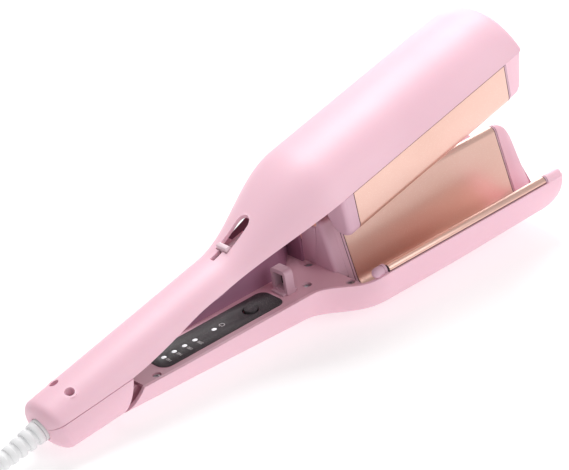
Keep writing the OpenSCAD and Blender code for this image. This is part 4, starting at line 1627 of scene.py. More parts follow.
@dataclass(frozen=True)
class ShellMaker:
    """Makes the closed skin of a moulded shell from its outer and inner rings.

    Attributes:
        edge: Width of the rounding of its edges.
        pitch: Distance between the rings along the arm.
        tip_slack: How far the tips stay inside their full length.
        tail_end: Stations of the rings round the rounded tail.
    """

    edge: float = 0.45
    pitch: float = 2.4
    tip_slack: float = 0.2
    tail_end: tuple[float, ...] = (0.5, 0.75, 1.2, 1.8, 2.6, 3.6, 4.6, 5.8, 7.0)

    def stations(self, marks: Sequence[float]) -> tuple[float, ...]:
        """Places rings at every mark and evenly between the marks.

        Args:
            marks: Places that each get a ring.

        Returns:
            The places.
        """
        places = [marks[0]]
        for start, end in zip(marks, marks[1:]):
            count = max(1, round((end - start) / self.pitch))
            places += [mix(start, end, index / count) for index in range(1, count + 1)]
        return tuple(places)

    def tip_stations(self, form: type[ShellForm]) -> tuple[float, ...]:
        """Places rings from the solid tip's root to its front."""
        shares = nose_steps(form.front - SIZES.wall_x, form.nose_r)
        front = form.front - self.tip_slack
        return (SIZES.wall_x, *(mix(SIZES.wall_x, front, share) for share in shares))

    def skin(self, name: str, outer: list[Ring], inner: list[Ring], shut: bool) -> Object:
        """Joins outer and inner rings into one closed skin.

        Args:
            name: Name of the piece.
            outer: Rings of the outside.
            inner: Rings of the inside, as many as outside.
            shut: Whether the tail end is closed by a wall.

        Returns:
            The closed skin.
        """
        rows, columns = len(outer), len(outer[0])
        base = rows * columns
        last = columns - 1
        faces = skin_faces(rows, columns) + skin_faces(rows, columns, base)
        for row in range(rows - 1):
            for column in (0, last):
                low, high = row * columns + column, (row + 1) * columns + column
                faces.append((low, high, base + high, base + low))
        end = (rows - 1) * columns
        for column in range(last):
            faces.append((end + column, end + column + 1, base + end + column + 1, base + end + column))
        if shut:
            faces.append(tuple(range(columns)))
            faces.append(tuple(base + column for column in range(columns)))
            faces.append((0, last, base + last, base))
        else:
            faces += [(column, column + 1, base + column + 1, base + column) for column in range(last)]
        made = make_object(name, [point for ring in outer + inner for point in ring], faces)
        turned_normals(made.data)
        return made


MAKER = ShellMaker()


def post(x: float, y: float, diameter: float, low: float, high: float) -> Object:
    """Makes an upright cylinder in an arm's millimetres."""
    made = turned_body("post", [(0, low), (diameter / 2, low), (diameter / 2, high), (0, high)])
    made.data.transform(Matrix.Translation((x, y, 0)))
    return made


def along_cord(made: Object) -> Object:
    """Lays a turned body on the cord's axis in the tail, its lower end towards the cord."""
    made.data.transform(Matrix.Translation((0, 0, SIZES.cord_z)) @ Matrix.Rotation(math.pi / 2, 4, "Y"))
    return made


def mouth_tool() -> Object:
    """Makes the bore in the tail that the strain relief turns in."""
    radius = SIZES.mouth_d / 2
    return along_cord(turned_body("mouth", [(0, -3), (radius, -3), (radius, 6), (0, 6)]))


@dataclass(frozen=True)
class UpperShell:
    """The long outer shell of the upper arm with its lock recess and screw wells.

    Attributes:
        well: Place, side place and width of the screw wells, and the height of their floor.
        tube: Width, floor and top of the tubes round the wells.
        shank: Width, floor and top of the screws' bores under them.
        recess: Start, end and width of the lock recess.
        slot: Start and width of the narrow slot behind it.
        rim_land: Width of the tip's rim at the seam.
        tip_sag: How far the tip's lower face sags.
    """

    well: tuple[float, float, float, float] = (20.5, 6.6, 5.3, 9.8)
    tube: tuple[float, float, float] = (8.0, 8.2, 15.0)
    shank: tuple[float, float, float] = (2.6, 7.0, 11.0)
    recess: tuple[float, float, float] = (133.0, 155.0, 9.0)
    slot: tuple[float, float] = (126.0, 3.0)
    rim_land: float = 0.4
    tip_sag: float = 0.6

    def tip_line(self, x: float) -> Ring:
        """Lower edge of the solid tip, following the wave of the plate.

        Args:
            x: Place along the arm.

        Returns:
            The edge.
        """
        form = UpperForm
        line = [(-y, z) for y, z in whole(WAVE.upper_half(0.15, 16))]
        width, top, rim = form.width(x), form.top(x), form.rim(x)
        share = (width * oval_width(rim / top, SIZES.oval_power) - self.rim_land) / WAVE.seam_y
        ring = []
        for index, (y, z) in enumerate(line):
            y *= share
            if index in (0, len(line) - 1):
                ring.append((x, y, rim))
                continue
            floor = form.clip(x) - self.tip_sag * (1 - (y / (WAVE.seam_y * share)) ** 2)
            roof = top * oval_width(y / width, SIZES.oval_power) - 1.6
            ring.append((x, y, min(roof, max(z, floor))))
        return ring

    def hollow(self, x: float) -> Ring:
        """Inside of the shell at a station."""
        if x > 9:
            return UpperForm.ring(x, SIZES.wall)
        return UpperForm.ring(max(x, 3.2), SIZES.wall, max(x, 0.5 + SIZES.wall) + 0.2 * x)

    def body(self) -> Object:
        """Makes the shell without its cuts."""
        along = MAKER.tail_end + MAKER.stations([9.5, 125, 195, 280, SIZES.wall_x - SIZES.seam_gap])
        tips = MAKER.tip_stations(UpperForm)
        outer = [UpperForm.ring(x) for x in along + tips]
        inner = [self.hollow(x) for x in along] + [self.tip_line(x) for x in tips]
        return MAKER.skin("outer_shell_upper", outer, inner, True)

    def recess_tool(self) -> Object:
        """Makes the shape that is cut out for the lock slider."""
        start, end, width = self.recess
        back, narrow = self.slot
        radius = width / 2
        outline = [(back, narrow / 2), (back, -narrow / 2), (start, -narrow / 2), (start, -radius)]
        outline += WAVE.arc(Vector((end - radius, 0)), radius, -90, 90, 24)
        outline += [(start, radius), (start, narrow / 2)]
        return prism("recess", outline, 12, 42)

    def build(self) -> Object:
        """Makes the shell and puts it in place."""
        made = self.body()
        place, side, width, floor = self.well
        sides = (-side, side)
        cut(made, [post(place, y, *self.tube) for y in sides], join=True)
        holes = [post(place, y, width, floor, 30) for y in sides]
        holes += [post(place, y, *self.shank) for y in sides]
        cut(made, holes + [self.recess_tool(), mouth_tool()])
        bevel(made, MAKER.edge)
        return settle(made, Body.UPPER, "pink_shell", "pink_shell", ["upper_shell"], 40)


@dataclass(frozen=True)
class TailCover:
    """The short cover under the tail, cut at a slant where the lower arm begins.

    Attributes:
        turn: Where the slant of its end starts.
        gap: How much deeper than the lower arm it reaches.
    """

    turn: float = 20.0
    gap: float = 0.6

    def ring(self, x: float, shell: float) -> Ring:
        """Points of the trough at a station, from the -y rim to the +y rim.

        Args:
            x: Place along the arm.
            shell: How far the points lie inside the outer face.

        Returns:
            The points.
        """
        slope = math.tan(STANCE.opening())
        share = UpperForm.tail(x)
        rim = UpperForm.handle_rim(x) - SIZES.seam_gap
        width, top = SIZES.handle_w / 2 - shell, SIZES.handle_top - shell
        lean = SIZES.cover_lean * smooth(x, self.turn, SIZES.cover_len)
        drop = STANCE.hinge_drop
        deep = drop + (x - STANCE.hinge_x - STANCE.arm_offset) * slope
        deep += (SIZES.depth_tail + self.gap - drop) / math.cos(STANCE.opening())
        bottom = (deep - slope * lean * rim) / (1 + slope * lean) - shell
        start = UpperForm.rim_angle(rim, top)
        points = []
        for index in range(UpperForm.columns + 1):
            angle = mix(180 - start, 360 + start, index / UpperForm.columns)
            y, z = UpperForm.oval_point(angle, width, top, bottom)
            points.append((x + lean * (z - rim), y * share, UpperForm.about_cord(z, share)))
        return points

    def hollow(self, x: float) -> Ring:
        """Inside of the cover at a station."""
        level = max(x, 3.2)
        place = 0.5 + SIZES.wall + 0.2 * x if x < 9 else x
        return [(px - level + place, py, pz) for px, py, pz in self.ring(level, SIZES.wall)]

    def build(self) -> Object:
        """Makes the cover and puts it in place."""
        along = MAKER.tail_end + MAKER.stations([9.5, 18, 30, SIZES.cover_len])
        outer, inner = [self.ring(x, 0) for x in along], [self.hollow(x) for x in along]
        made = MAKER.skin("tail_cover_shell", outer, inner, True)
        cut(made, [mouth_tool()])
        bevel(made, MAKER.edge)
        return settle(made, Body.UPPER, "pink_shell", "pink_shell", ["tail_cover"], 40)


@dataclass(frozen=True)
class LowerShell:
    """The outer shell of the lower arm, from its slanted tail edge to the solid tip.

    Attributes:
        tip_rim: How thick the tip stays under its upper edge.
    """

    tip_rim: float = 1.4

    def tip_line(self, x: float) -> Ring:
        """Upper edge of the solid tip, following the wave of the plate.

        Args:
            x: Place along the arm.

        Returns:
            The edge.
        """
        form = LowerForm
        width = form.width(x)
        share = width / (SIZES.jaw_w / 2)
        ring = []
        for y, z in whole(WAVE.lower_half(0, 12, 0.0)):
            y *= share
            floor = form.rim(x) + self.tip_rim - form.bottom(x) * oval_width(y / width, SIZES.oval_power)
            ring.append((x, y, max(floor, min(z, form.clip(x)) - form.inset(x))))
        return ring

    def build(self) -> Object:
        """Makes the shell and puts it in place."""
        form = LowerForm
        along = MAKER.stations([SIZES.lower_x0, 95, 157, 206, 285, SIZES.wall_x - SIZES.seam_gap])
        tips = MAKER.tip_stations(form)
        outer = [form.ring(x) for x in along + tips]
        inner = [form.ring(x, SIZES.wall) for x in along] + [self.tip_line(x) for x in tips]
        made = MAKER.skin("outer_shell_lower", outer, inner, False)
        bevel(made, MAKER.edge)
        settle(made, Body.LOWER, "pink_shell", "pink_shell", ["lower_shell"], 40)
        for corner in made.data.vertices:
            corner.co.z = max(corner.co.z, 0.0)
        return made


# ---------------------------------------------------------------- wave plates and their frames


def band(outer: Sequence[Flat], inner: Sequence[Flat]) -> list[Flat]:
    """Closes two lines of a section into one outline."""
    return list(outer) + list(reversed(inner))


@dataclass(frozen=True)
class WavePlates:
    """The two coated plates and the moulded frames behind them.

    Attributes:
        steps: Steps along each arc of the wave.
        seam: Dark gap between a plate's end and its frame.
        root: How far the frames stand behind the plates' root.
        ring: Width of the raised ring beside a plate's end.
        frame_end: Tip end of the frames.
        block_r: Rounding of the frames' root blocks.
        core_y: Half width of the lower frame's side legs.
        edge: Rounding of the plates' edges.
        hump_x: Tail face of the lower frame's middle block.
        lip_end: Angle at which the lower plate ends on the side lip.
        leg: Height, foot and thickness of the lower frame's side legs.
        block_gap: How far the middle block stays behind the plates' root.
        floor: Height of the middle block's underside.
        side_wall: Corners of the wall beside the middle block, as side place and height.
        gasket: Nearest and farthest depth of the dark sheets of painted shade in the seams.
        knob: Place, side place, height and radius of the knobs at the side lips' root.
        clear: Gap between the frames' root blocks when the jaws are closed.
    """

    steps: int = 16
    seam: float = 0.35
    root: float = 8.0
    ring: float = 1.3
    frame_end: float = 315.65
    block_r: float = 2.8
    core_y: float = 38.45
    edge: float = 0.28
    hump_x: float = 188.2
    lip_end: float = -8.0
    leg: tuple[float, float, float] = (5.4, 3.0, 2.2)
    block_gap: float = 5.0
    floor: float = 0.02
    side_wall: tuple[Flat, ...] = ((6.0, 0.02), (17.6, 0.02), (15.6, 22.4), (3.0, 23.4))
    gasket: Flat = (0.3, 1.1)
    knob: tuple[float, float, float, float] = (194.8, 36.0, 6.1, 2.9)
    clear: float = 0.15

    def upper_sheet(self, name: str, near: float, far: float, start: float, end: float) -> Object:
        """A sheet between two offsets of the upper wave."""
        lines = [whole(WAVE.upper_half(depth, self.steps)) for depth in (near, far)]
        return prism(name, band(*lines), start, end, "x")

    def lower_sheet(self, name: str, near: float, far: float, start: float, end: float) -> Object:
        """A sheet between two offsets of the lower wave."""
        lines = [whole(WAVE.lower_half(-depth, self.steps, self.lip_end)) for depth in (near, far)]
        return prism(name, band(*lines), start, end, "x")

    def lobe_wall(self, depth: float, height: float) -> list[Flat]:
        """Outline of an upper lobe closed at a height.

        Args:
            depth: Offset into the upper jaw.
            height: The height.

        Returns:
            The outline.
        """
        arc = WAVE.lobe(depth, self.steps)
        flank = math.radians(WAVE.flank)
        first, last, seam = arc[0], arc[-1], WAVE.seam_end(depth)
        rise = (height - first[1]) / math.cos(flank)
        inner = (first[0] - math.sin(flank) * rise, height)
        outer = (mix(last[0], seam[0], (height - last[1]) / (seam[1] - last[1])), height)
        return [inner, *arc, outer]

    def mirrored(self, name: str, outline: Sequence[Flat], start: float, end: float) -> list[Object]:
        """A prism of an outline on each side."""
        return [prism(name, [(side * y, z) for y, z in outline], start, end, "x") for side in (1, -1)]

    def rounding(self, start: float) -> list[Flat]:
        """Stations and insets of a rounded tail end."""
        turn = [math.pi / 2 * index / 8 for index in range(9)]
        radius = self.block_r
        return [(start + radius * (1 - math.cos(angle)), radius * (1 - math.sin(angle))) for angle in turn]

    def root_block(self, side: int) -> Object:
        """The closed, rounded root of an upper lobe.

        Args:
            side: Side of the jaw, 1 or -1.

        Returns:
            The block.
        """
        rings = []
        for x, inset in self.rounding(SIZES.plate_x0 - self.root) + [(SIZES.plate_x0 - 0.05, 0.0)]:
            outline = self.lobe_wall(inset + self.clear, SIZES.seam_z - SIZES.seam_gap)
            rings.append([(x, side * y, z) for y, z in outline])
        return loft("block", rings)

    def upper_frame(self) -> Object:
        """Makes the upper frame: the sheet behind the plate, its rounded root and its end ring."""
        root, end = SIZES.plate_x0, self.frame_end
        strip = self.upper_sheet("strip", 0.06, -self.back, root - self.root + 2, root - 0.05)
        bevel(strip, 0.5)
        parts = [strip, self.root_block(1), self.root_block(-1)]
        parts.append(self.upper_sheet("sheet", WAVE.plate_t, -self.back, root, end))
        outline = self.lobe_wall(0.02, SIZES.seam_z - SIZES.seam_gap)
        parts += self.mirrored("end", outline, SIZES.plate_x1 + 0.02, end)
        made = joined("upper_plate_frame", parts)
        return settle(made, Body.UPPER, "frame_plastic", "inner_plastic", ["upper_jaw_frame"])

    def upper_plate(self) -> Object:
        """Makes the upper heat plate."""
        start, end = SIZES.plate_x0 + self.seam, SIZES.plate_x1 - self.seam
        made = self.upper_sheet("upper_wave_plate", 0, WAVE.plate_t, start, end)
        bevel(made, self.edge, 2)
        return settle(made, Body.UPPER, "rose_plate", "rose_plate", ["upper_heat_plate"], 40)

    def trough(self, rise: float) -> list[Flat]:
        """Right half of the lower wave without its lip."""
        return WAVE.trough(rise, self.steps)

    @property
    def back(self) -> float:
        """Offset of the lower frame's underside."""
        return -WAVE.plate_t - WAVE.frame_t

    def frame_section(self, rise: float) -> list[Flat]:
        """Outline of the lower frame under the plate or, at its end, flush with it.

        Args:
            rise: Offset out of the jaw.

        Returns:
            The outline.
        """
        half = WAVE.lower_half(rise, self.steps)
        high, low, foot = self.leg
        half += [(self.core_y, high), (self.core_y, low), (self.core_y - foot, low)]
        half += list(reversed(self.trough(self.back)))
        return half + [(-y, z) for y, z in reversed(half[1:-1])]

    def root_section(self) -> list[Flat]:
        """Outline of the lower frame's root, without the side lips."""
        return band(whole(self.trough(0)), whole(self.trough(self.back)))

    def hump_wall(self, inset: float, low: float) -> list[Flat]:
        """Outline of the block that closes the middle ridge, at an inset and down to a height.

        Args:
            inset: The inset.
            low: Height of its lower end.

        Returns:
            The outline.
        """
        crest = WAVE.ridge(-inset, self.steps)
        flank = math.radians(WAVE.flank)
        drop = (crest[-1][1] - low) / math.cos(flank)
        return whole(crest + [(crest[-1][0] + math.sin(flank) * drop, low)])

    def hump_block(self) -> list[Object]:
        """The block in front of the handle that closes the middle ridge, with its far side wall."""
        rings = []
        root = SIZES.plate_x0 - self.block_gap
        for x, inset in self.rounding(self.hump_x) + [(root + 0.1, 0.0)]:
            rings.append([(x, y, z) for y, z in self.hump_wall(inset + self.clear, self.floor)])
        head = loft("hump", rings)
        foot = prism("foot", self.hump_wall(0.0, -4.0), SIZES.handle_len - 0.3, root, "x")
        cut(foot, [block("trim", (180, -30, 0.0), (210, 30, 40))])
        wall = prism("wall", rounded(self.side_wall, 1.2), self.hump_x + 0.2, self.hump_x + 2.2, "x")
        bevel(wall, 0.5)
        return [head, foot, wall]

    def lip_knob(self, side: int) -> Object:
        """The rounded knob with its collar at the root of a side lip.

        Args:
            side: Side of the jaw, 1 or -1.

        Returns:
            The knob.
        """
        place, side_y, height, radius = self.knob
        profile = [
            (radius * math.sin(math.pi * index / 24), -radius * math.cos(math.pi * index / 24))
            for index in range(13)
        ]
        last = SIZES.plate_x0 - 0.05 - place
        profile += [(radius, last - 2.1), (radius - 0.35, last - 1.95), (radius - 0.35, last - 1.7)]
        profile += [(radius + 0.1, last - 1.55), (radius + 0.1, last - 0.2), (radius - 0.1, last), (0, last)]
        made = turned_body("knob", profile, 40)
        turn = Matrix.Rotation(math.pi / 2, 4, "Y")
        made.data.transform(Matrix.Translation((place, side * side_y, height)) @ turn)
        return made

    def lower_frame(self) -> Object:
        """Makes the lower frame: under the plate, its rounded root, its knobs and its end ring."""
        root = SIZES.plate_x0
        split = root - self.ring - self.seam
        strips = [
            prism("strip", self.root_section(), root - self.root + 3, split, "x"),
            prism("ring", self.root_section(), split + self.seam, root - 0.05, "x"),
        ]
        for strip in strips:
            bevel(strip, 0.22, 2)
        end_x = SIZES.plate_x1
        end_ring = prism("end", self.frame_section(0), end_x + 0.02, self.frame_end, "x")
        bevel(end_ring, 0.12, 2)
        parts = strips + self.hump_block() + [self.lip_knob(1), self.lip_knob(-1)]
        parts += [prism("under", self.frame_section(-WAVE.plate_t), root, end_x, "x"), end_ring]
        made = joined("lower_plate_frame", parts)
        return settle(made, Body.LOWER, "frame_plastic", "inner_plastic", ["lower_jaw_frame"])

    def lower_plate(self) -> Object:
        """Makes the lower heat plate."""
        start, end = SIZES.plate_x0 + self.seam, SIZES.plate_x1 - self.seam
        made = self.lower_sheet("lower_wave_plate", 0, WAVE.plate_t, start, end)
        bevel(made, self.edge, 2)
        return settle(made, Body.LOWER, "rose_plate", "rose_plate", ["lower_heat_plate"], 40)

    def painted_seam_shades(self) -> None:
        """Makes the dark sheets in the seams round the plates, painted shade where the seams lie in shadow.
        """
        start, end, over = SIZES.plate_x0, SIZES.plate_x1, 0.1
        root = (start - over, start + self.seam + over)
        front = (end - self.seam - over, SIZES.wall_x + 0.02)
        high = SIZES.seam_z + 0.02
        parts = [self.upper_sheet("gasket", *self.gasket, *run) for run in (root, front)]
        for side in (1, -1):
            near, far = sorted((side * (WAVE.seam_y - 1.9), side * (WAVE.seam_y - 0.4)))
            parts.append(block("side", (start, near, high - 0.6), (SIZES.wall_x, far, high)))
        made = joined("upper_plate_gasket", parts)
        settle(made, Body.UPPER, "seam_shadow", "black_plastic")
        split = start - self.ring - self.seam
        behind = band(*(whole(self.trough(-depth)) for depth in self.gasket))
        parts = [self.lower_sheet("gasket", *self.gasket, *run) for run in (root, front)]
        parts.append(prism("ring", behind, split - over, split + self.seam + over, "x"))
        for side in (1, -1):
            near, far = sorted((side * (WAVE.lip_y + 0.9), side * (WAVE.lip_y + 2.1)))
            parts.append(block("side", (start, near, 5.3), (SIZES.wall_x, far, 6.2)))
        made = joined("lower_plate_gasket", parts)
        settle(made, Body.LOWER, "seam_shadow", "black_plastic")

    def build(self) -> None:
        """Makes both plates, both frames and the dark seam sheets of painted shade."""
        self.upper_frame()
        self.upper_plate()
        self.lower_frame()
        self.lower_plate()
        self.painted_seam_shades()



# ---------------------------------------------------------------- inside of the lower arm


@dataclass(frozen=True)
class ControlPanel:
    """The charcoal panel with its lenses, its plain numbers and its button.

    Attributes:
        start: Tail end of the panel.
        end: Front end of the panel.
        half: Half of its width.
        top: Height of its face over the cover.
        thick: Thickness of the panel.
        lens_d: Width of a lens.
        lenses: Places of the lenses, the last for power.
        button_x: Place of the button.
        button_d: Width of the button.
        gap: Gap round the button.
        levels: The number beside each of the first four lenses.
        label_h: Height of the numbers.
        label_y: Side place of the numbers.
        ink: How far the print stands over the panel.
        em_per_height: Size of the letters for their height.
        drawn_in: Half width and length of the panel's narrow tail, and length of its front corners.
        corner_r: Rounding of its corners.
        thumb: How far back and aside the dish round the button lies, and how much wider it is.
        mark: Inner and outer radius of the power symbol, half its opening in degrees, and its steps.
        mark_ahead: How far the power symbol lies past its lens.
    """

    start: float = 71.0
    end: float = 153.0
    half: float = 9.7
    top: float = 0.3
    thick: float = 1.2
    lens_d: float = 2.8
    lenses: tuple[float, ...] = (78.4, 85.3, 92.2, 99.1, 112.0)
    button_x: float = 137.0
    button_d: float = 7.7
    gap: float = 0.25
    levels: tuple[str, ...] = ("140", "160", "180", "200")
    label_h: float = 1.9
    label_y: float = -4.6
    ink: float = 0.025
    em_per_height: float = 1.38
    drawn_in: tuple[float, float, float] = (6.2, 3.4, 3.0)
    corner_r: float = 2.4
    thumb: tuple[float, float, float] = (1.1, 1.0, 1.3)
    mark: tuple[float, float, float, int] = (1.25, 1.62, 32.0, 28)
    mark_ahead: float = 5.2

    def outline(self, grow: float = 0.0) -> list[Flat]:
        """Outline of the panel with its drawn-in tail end.

        Args:
            grow: How far it is grown.

        Returns:
            The outline.
        """
        back, front, side = self.start - grow, self.end + grow, self.half + grow
        narrow, run, corner = self.drawn_in
        right = [(back, narrow), (self.start + run - grow, side), (self.end - corner + grow, side)]
        right.append((front, self.half - corner + grow))
        left = [(x, -y) for x, y in reversed(right)]
        return rounded(left[-1:] + right + left[:-1], self.corner_r)

    def plate(self) -> Object:
        """Makes the panel with its holes."""
        made = prism("control_plate", self.outline(), self.top - self.thick, self.top)
        holes = [post(x, 0, self.lens_d + 0.2, -5, 5) for x in self.lenses]
        holes.append(post(self.button_x, 0, self.button_d + 2 * self.gap, -5, 5))
        back, side, wider = self.thumb
        holes.append(post(self.button_x - back, -side, self.button_d + wider, -5, 5))
        cut(made, holes)
        bevel(made, 0.16, 2)
        return settle(made, Body.LOWER, "charcoal_panel", "charcoal_panel", ["control_panel"])

    def lens_set(self) -> Object:
        """Makes the five domed light guides."""
        radius = self.lens_d / 2
        profile = [(0, -5.6), (radius, -5.6), (radius, 0.16), (radius * 0.86, 0.27), (radius * 0.5, 0.33)]
        unit = turned_body("lens", profile + [(0, 0.35)], 32)
        made = REPEATER.build("level_lights", unit, [(x, 0.0, 0.0) for x in self.lenses], "lens_white")
        return settle(made, Body.LOWER, "lens_white", "lens_white", ["indicator_lenses"], 50)

    def number(self, text: str, x: float) -> Object:
        """Makes one printed number that reads across the panel.

        Args:
            text: The number.
            x: Place along the arm.

        Returns:
            The print.
        """
        data = bpy.data.curves.new("number", "FONT")
        data.body = text
        data.size = self.label_h * self.em_per_height
        data.align_x = "CENTER"
        data.align_y = "CENTER"
        data.extrude = self.ink
        word = linked("number", data)
        mesh = bpy.data.meshes.new_from_object(word)
        bpy.data.objects.remove(word)
        turn = Matrix.Rotation(math.pi / 2, 4, "Z")
        mesh.transform(Matrix.Translation((x, self.label_y, self.top)) @ turn)
        return linked("number", mesh)

    def power_mark(self, x: float) -> Object:
        """Makes the plain power symbol: an open ring and a bar.

        Args:
            x: Place along the arm.

        Returns:
            The print.
        """
        inner, outer, half_gap, steps = self.mark
        high = self.top + self.ink
        points: list[Point] = []
        for index in range(steps + 1):
            angle = math.radians(180 + mix(half_gap, 360 - half_gap, index / steps))
            for radius in (inner, outer):
                points.append((x + radius * math.cos(angle), radius * math.sin(angle), high))
        faces = [(2 * index, 2 * index + 1, 2 * index + 3, 2 * index + 2) for index in range(steps)]
        bar = block("bar", (x - 1.75, -0.18, self.top - 0.01), (x - 0.45, 0.18, high))
        return joined("mark", [make_object("ring", points, faces), bar])

    def print_set(self) -> Object:
        """Makes all the print on the panel as one piece."""
        parts = [self.number(text, x) for text, x in zip(self.levels, self.lenses)]
        parts.append(self.power_mark(self.lenses[-1] + self.mark_ahead))
        made = joined("panel_numbers", parts)
        return settle(made, Body.LOWER, "label_ink", "white_plastic", (), None)

    def button(self) -> Object:
        """Makes the dished push button with its stem."""
        radius = self.button_d / 2
        profile = [(0, -2.35), (1.5, -2.35), (1.5, -1.5), (radius, -1.5), (radius, 0.42)]
        profile += [(radius - 0.12, 0.6), (radius - 0.4, 0.7), (radius - 0.75, 0.66), (radius - 1.3, 0.42)]
        profile += [(1.4, 0.26), (0, 0.2)]
        made = turned_body("push_button", profile, 64)
        made.data.transform(Matrix.Translation((self.button_x, 0, 0)))
        return settle(made, Body.BUTTON, "charcoal_panel", "black_plastic", ["button_cap"], 40)

    def build(self) -> None:
        """Makes every piece of the panel."""
        self.plate()
        self.lens_set()
        self.print_set()
        self.button()


@dataclass(frozen=True)
class InnerCover:
    """The flat inner cover of the lower arm with the panel's pocket, its screws, and a dark wall along its
    far side that is painted shade.

    Attributes:
        thick: Thickness of the cover.
        start: Its tail end.
        end: Its front end.
        side_gap: Gap to the shell.
        screws: Places of the screws.
        head_d: Width of a screw's head.
        head_h: Height of a screw's head over the cover.
        sink: Width and depth of the pockets for the screws' heads.
        wall_start: Where the dark wall of painted shade on the far side starts.
        wall_end: Where it ends.
        wall_slope: How steeply its top rises.
        wall_floor: Height of its foot over the cover.
        wall_thick: Its thickness.
        wall_clear: Gap over it when the jaws are closed.
        wall_steps: Steps along it.
        cross_y: Where the cross wall at its end starts.
    """

    thick: float = 1.8
    start: float = 55.0
    end: float = 189.5
    side_gap: float = 0.35
    screws: tuple[Flat, ...] = ((186, 10.5), (171.3, -5.4), (187, -22.6), (65.6, -10.2), (65.6, 10.2))
    head_d: float = 4.2
    head_h: float = -0.6
    sink: Flat = (5.0, 1.5)
    wall_start: float = 88.0
    wall_end: float = 186.4
    wall_slope: float = 0.215
    wall_floor: float = 0.02
    wall_thick: float = 1.2
    wall_clear: float = 0.9
    wall_steps: int = 40
    cross_y: float = 15.8

    def half(self, x: float) -> float:
        """Half width of the cover at a station."""
        share = (LowerForm.rim(x) + self.thick) / (LowerForm.bottom(x) - SIZES.wall)
        return (LowerForm.width(x) - SIZES.wall) * oval_width(share, SIZES.oval_power) - self.side_gap

    def plate(self, panel: ControlPanel) -> Object:
        """Makes the cover with the panel's pocket and the screws' pockets.

        Args:
            panel: The panel.

        Returns:
            The cover.
        """
        count = 70
        places = [mix(self.start, self.end, index / count) for index in range(count + 1)]
        outline = [(x, self.half(x)) for x in places] + [(x, -self.half(x)) for x in reversed(places)]
        made = prism("inner_cover_plate", outline, -self.thick, 0)
        pocket = prism("pocket", panel.outline(0.2), -1.3, 5)
        through = block("through", (panel.start + 2, -7, -5), (panel.end - 6, 7, 5))
        width, deep = self.sink
        sinks = [post(x, y, width, -deep, 5) for x, y in self.screws]
        cut(made, [pocket, through] + sinks + [post(x, y, 2.6, -5, 5) for x, y in self.screws])
        bevel(made, 0.22, 2)
        return settle(made, Body.LOWER, "inner_plastic", "inner_plastic", ["lower_inner_cover"])

    def screw(self) -> Object:
        """Makes one cross-head screw with a domed head."""
        radius = self.head_d / 2
        top = self.head_h
        profile = [(0, -4), (1.2, -4), (1.2, top - 0.8), (radius, top - 0.8), (radius, top - 0.4)]
        profile += [(radius * 0.8, top - 0.15), (radius * 0.4, top - 0.03), (0, top)]
        made = turned_body("screw", profile, 32)
        arms = [
            block("arm", (-1.15, -0.3, top - 0.55), (1.15, 0.3, 2)),
            block("arm", (-0.3, -1.15, top - 0.55), (0.3, 1.15, 2)),
        ]
        cut(made, arms)
        return made

    def screw_set(self) -> Object:
        """Makes all the screws of the cover."""
        places = [(x, y, 0.0) for x, y in self.screws]
        made = REPEATER.build("cover_screw_set", self.screw(), places, "screw_steel", math.pi)
        return settle(made, Body.LOWER, "screw_steel", "screw_steel", ["lower_cover_screws"], 35)

    def build(self, panel: ControlPanel) -> None:
        """Makes the cover and its screws."""
        self.plate(panel)
        self.screw_set()
        self.painted_shade_wall()

    def painted_shade_wall(self) -> Object:
        """Makes a dark plum wall along the far side, with its cross wall, as painted shade where that side
        lies in shadow.
        """
        rings = []
        floor, form, end = self.wall_floor, UpperForm, self.wall_end
        for index in range(self.wall_steps + 1):
            x = mix(self.wall_start, end, index / self.wall_steps)
            outer = self.half(x) - 0.2
            inner, above = outer - self.wall_thick, x + STANCE.arm_offset
            width, top = form.width(above) - SIZES.wall, form.top(above) - SIZES.wall
            room = top * oval_width(outer / width, SIZES.oval_power) - self.wall_clear
            high = min(0.3 + (x - self.wall_start) * self.wall_slope, room)
            rings.append([(x, inner, floor), (x, outer, floor), (x, outer, high), (x, inner, high)])
        near, far = self.cross_y, self.half(end) - 0.3
        outline = [(near, floor), (far, floor), (far, 13.0), (23.0, 17.5), (near, 20.0)]
        cross = prism("cross", outline, end - 0.1, end + 1.4, "x")
        # Painted shade: the wall and its cross wall carry the dark plum of the shadow on the far side.
        made = joined("far_inner_wall", [loft("side", rings), cross])
        return settle(made, Body.LOWER, "wall_plastic", "inner_plastic")


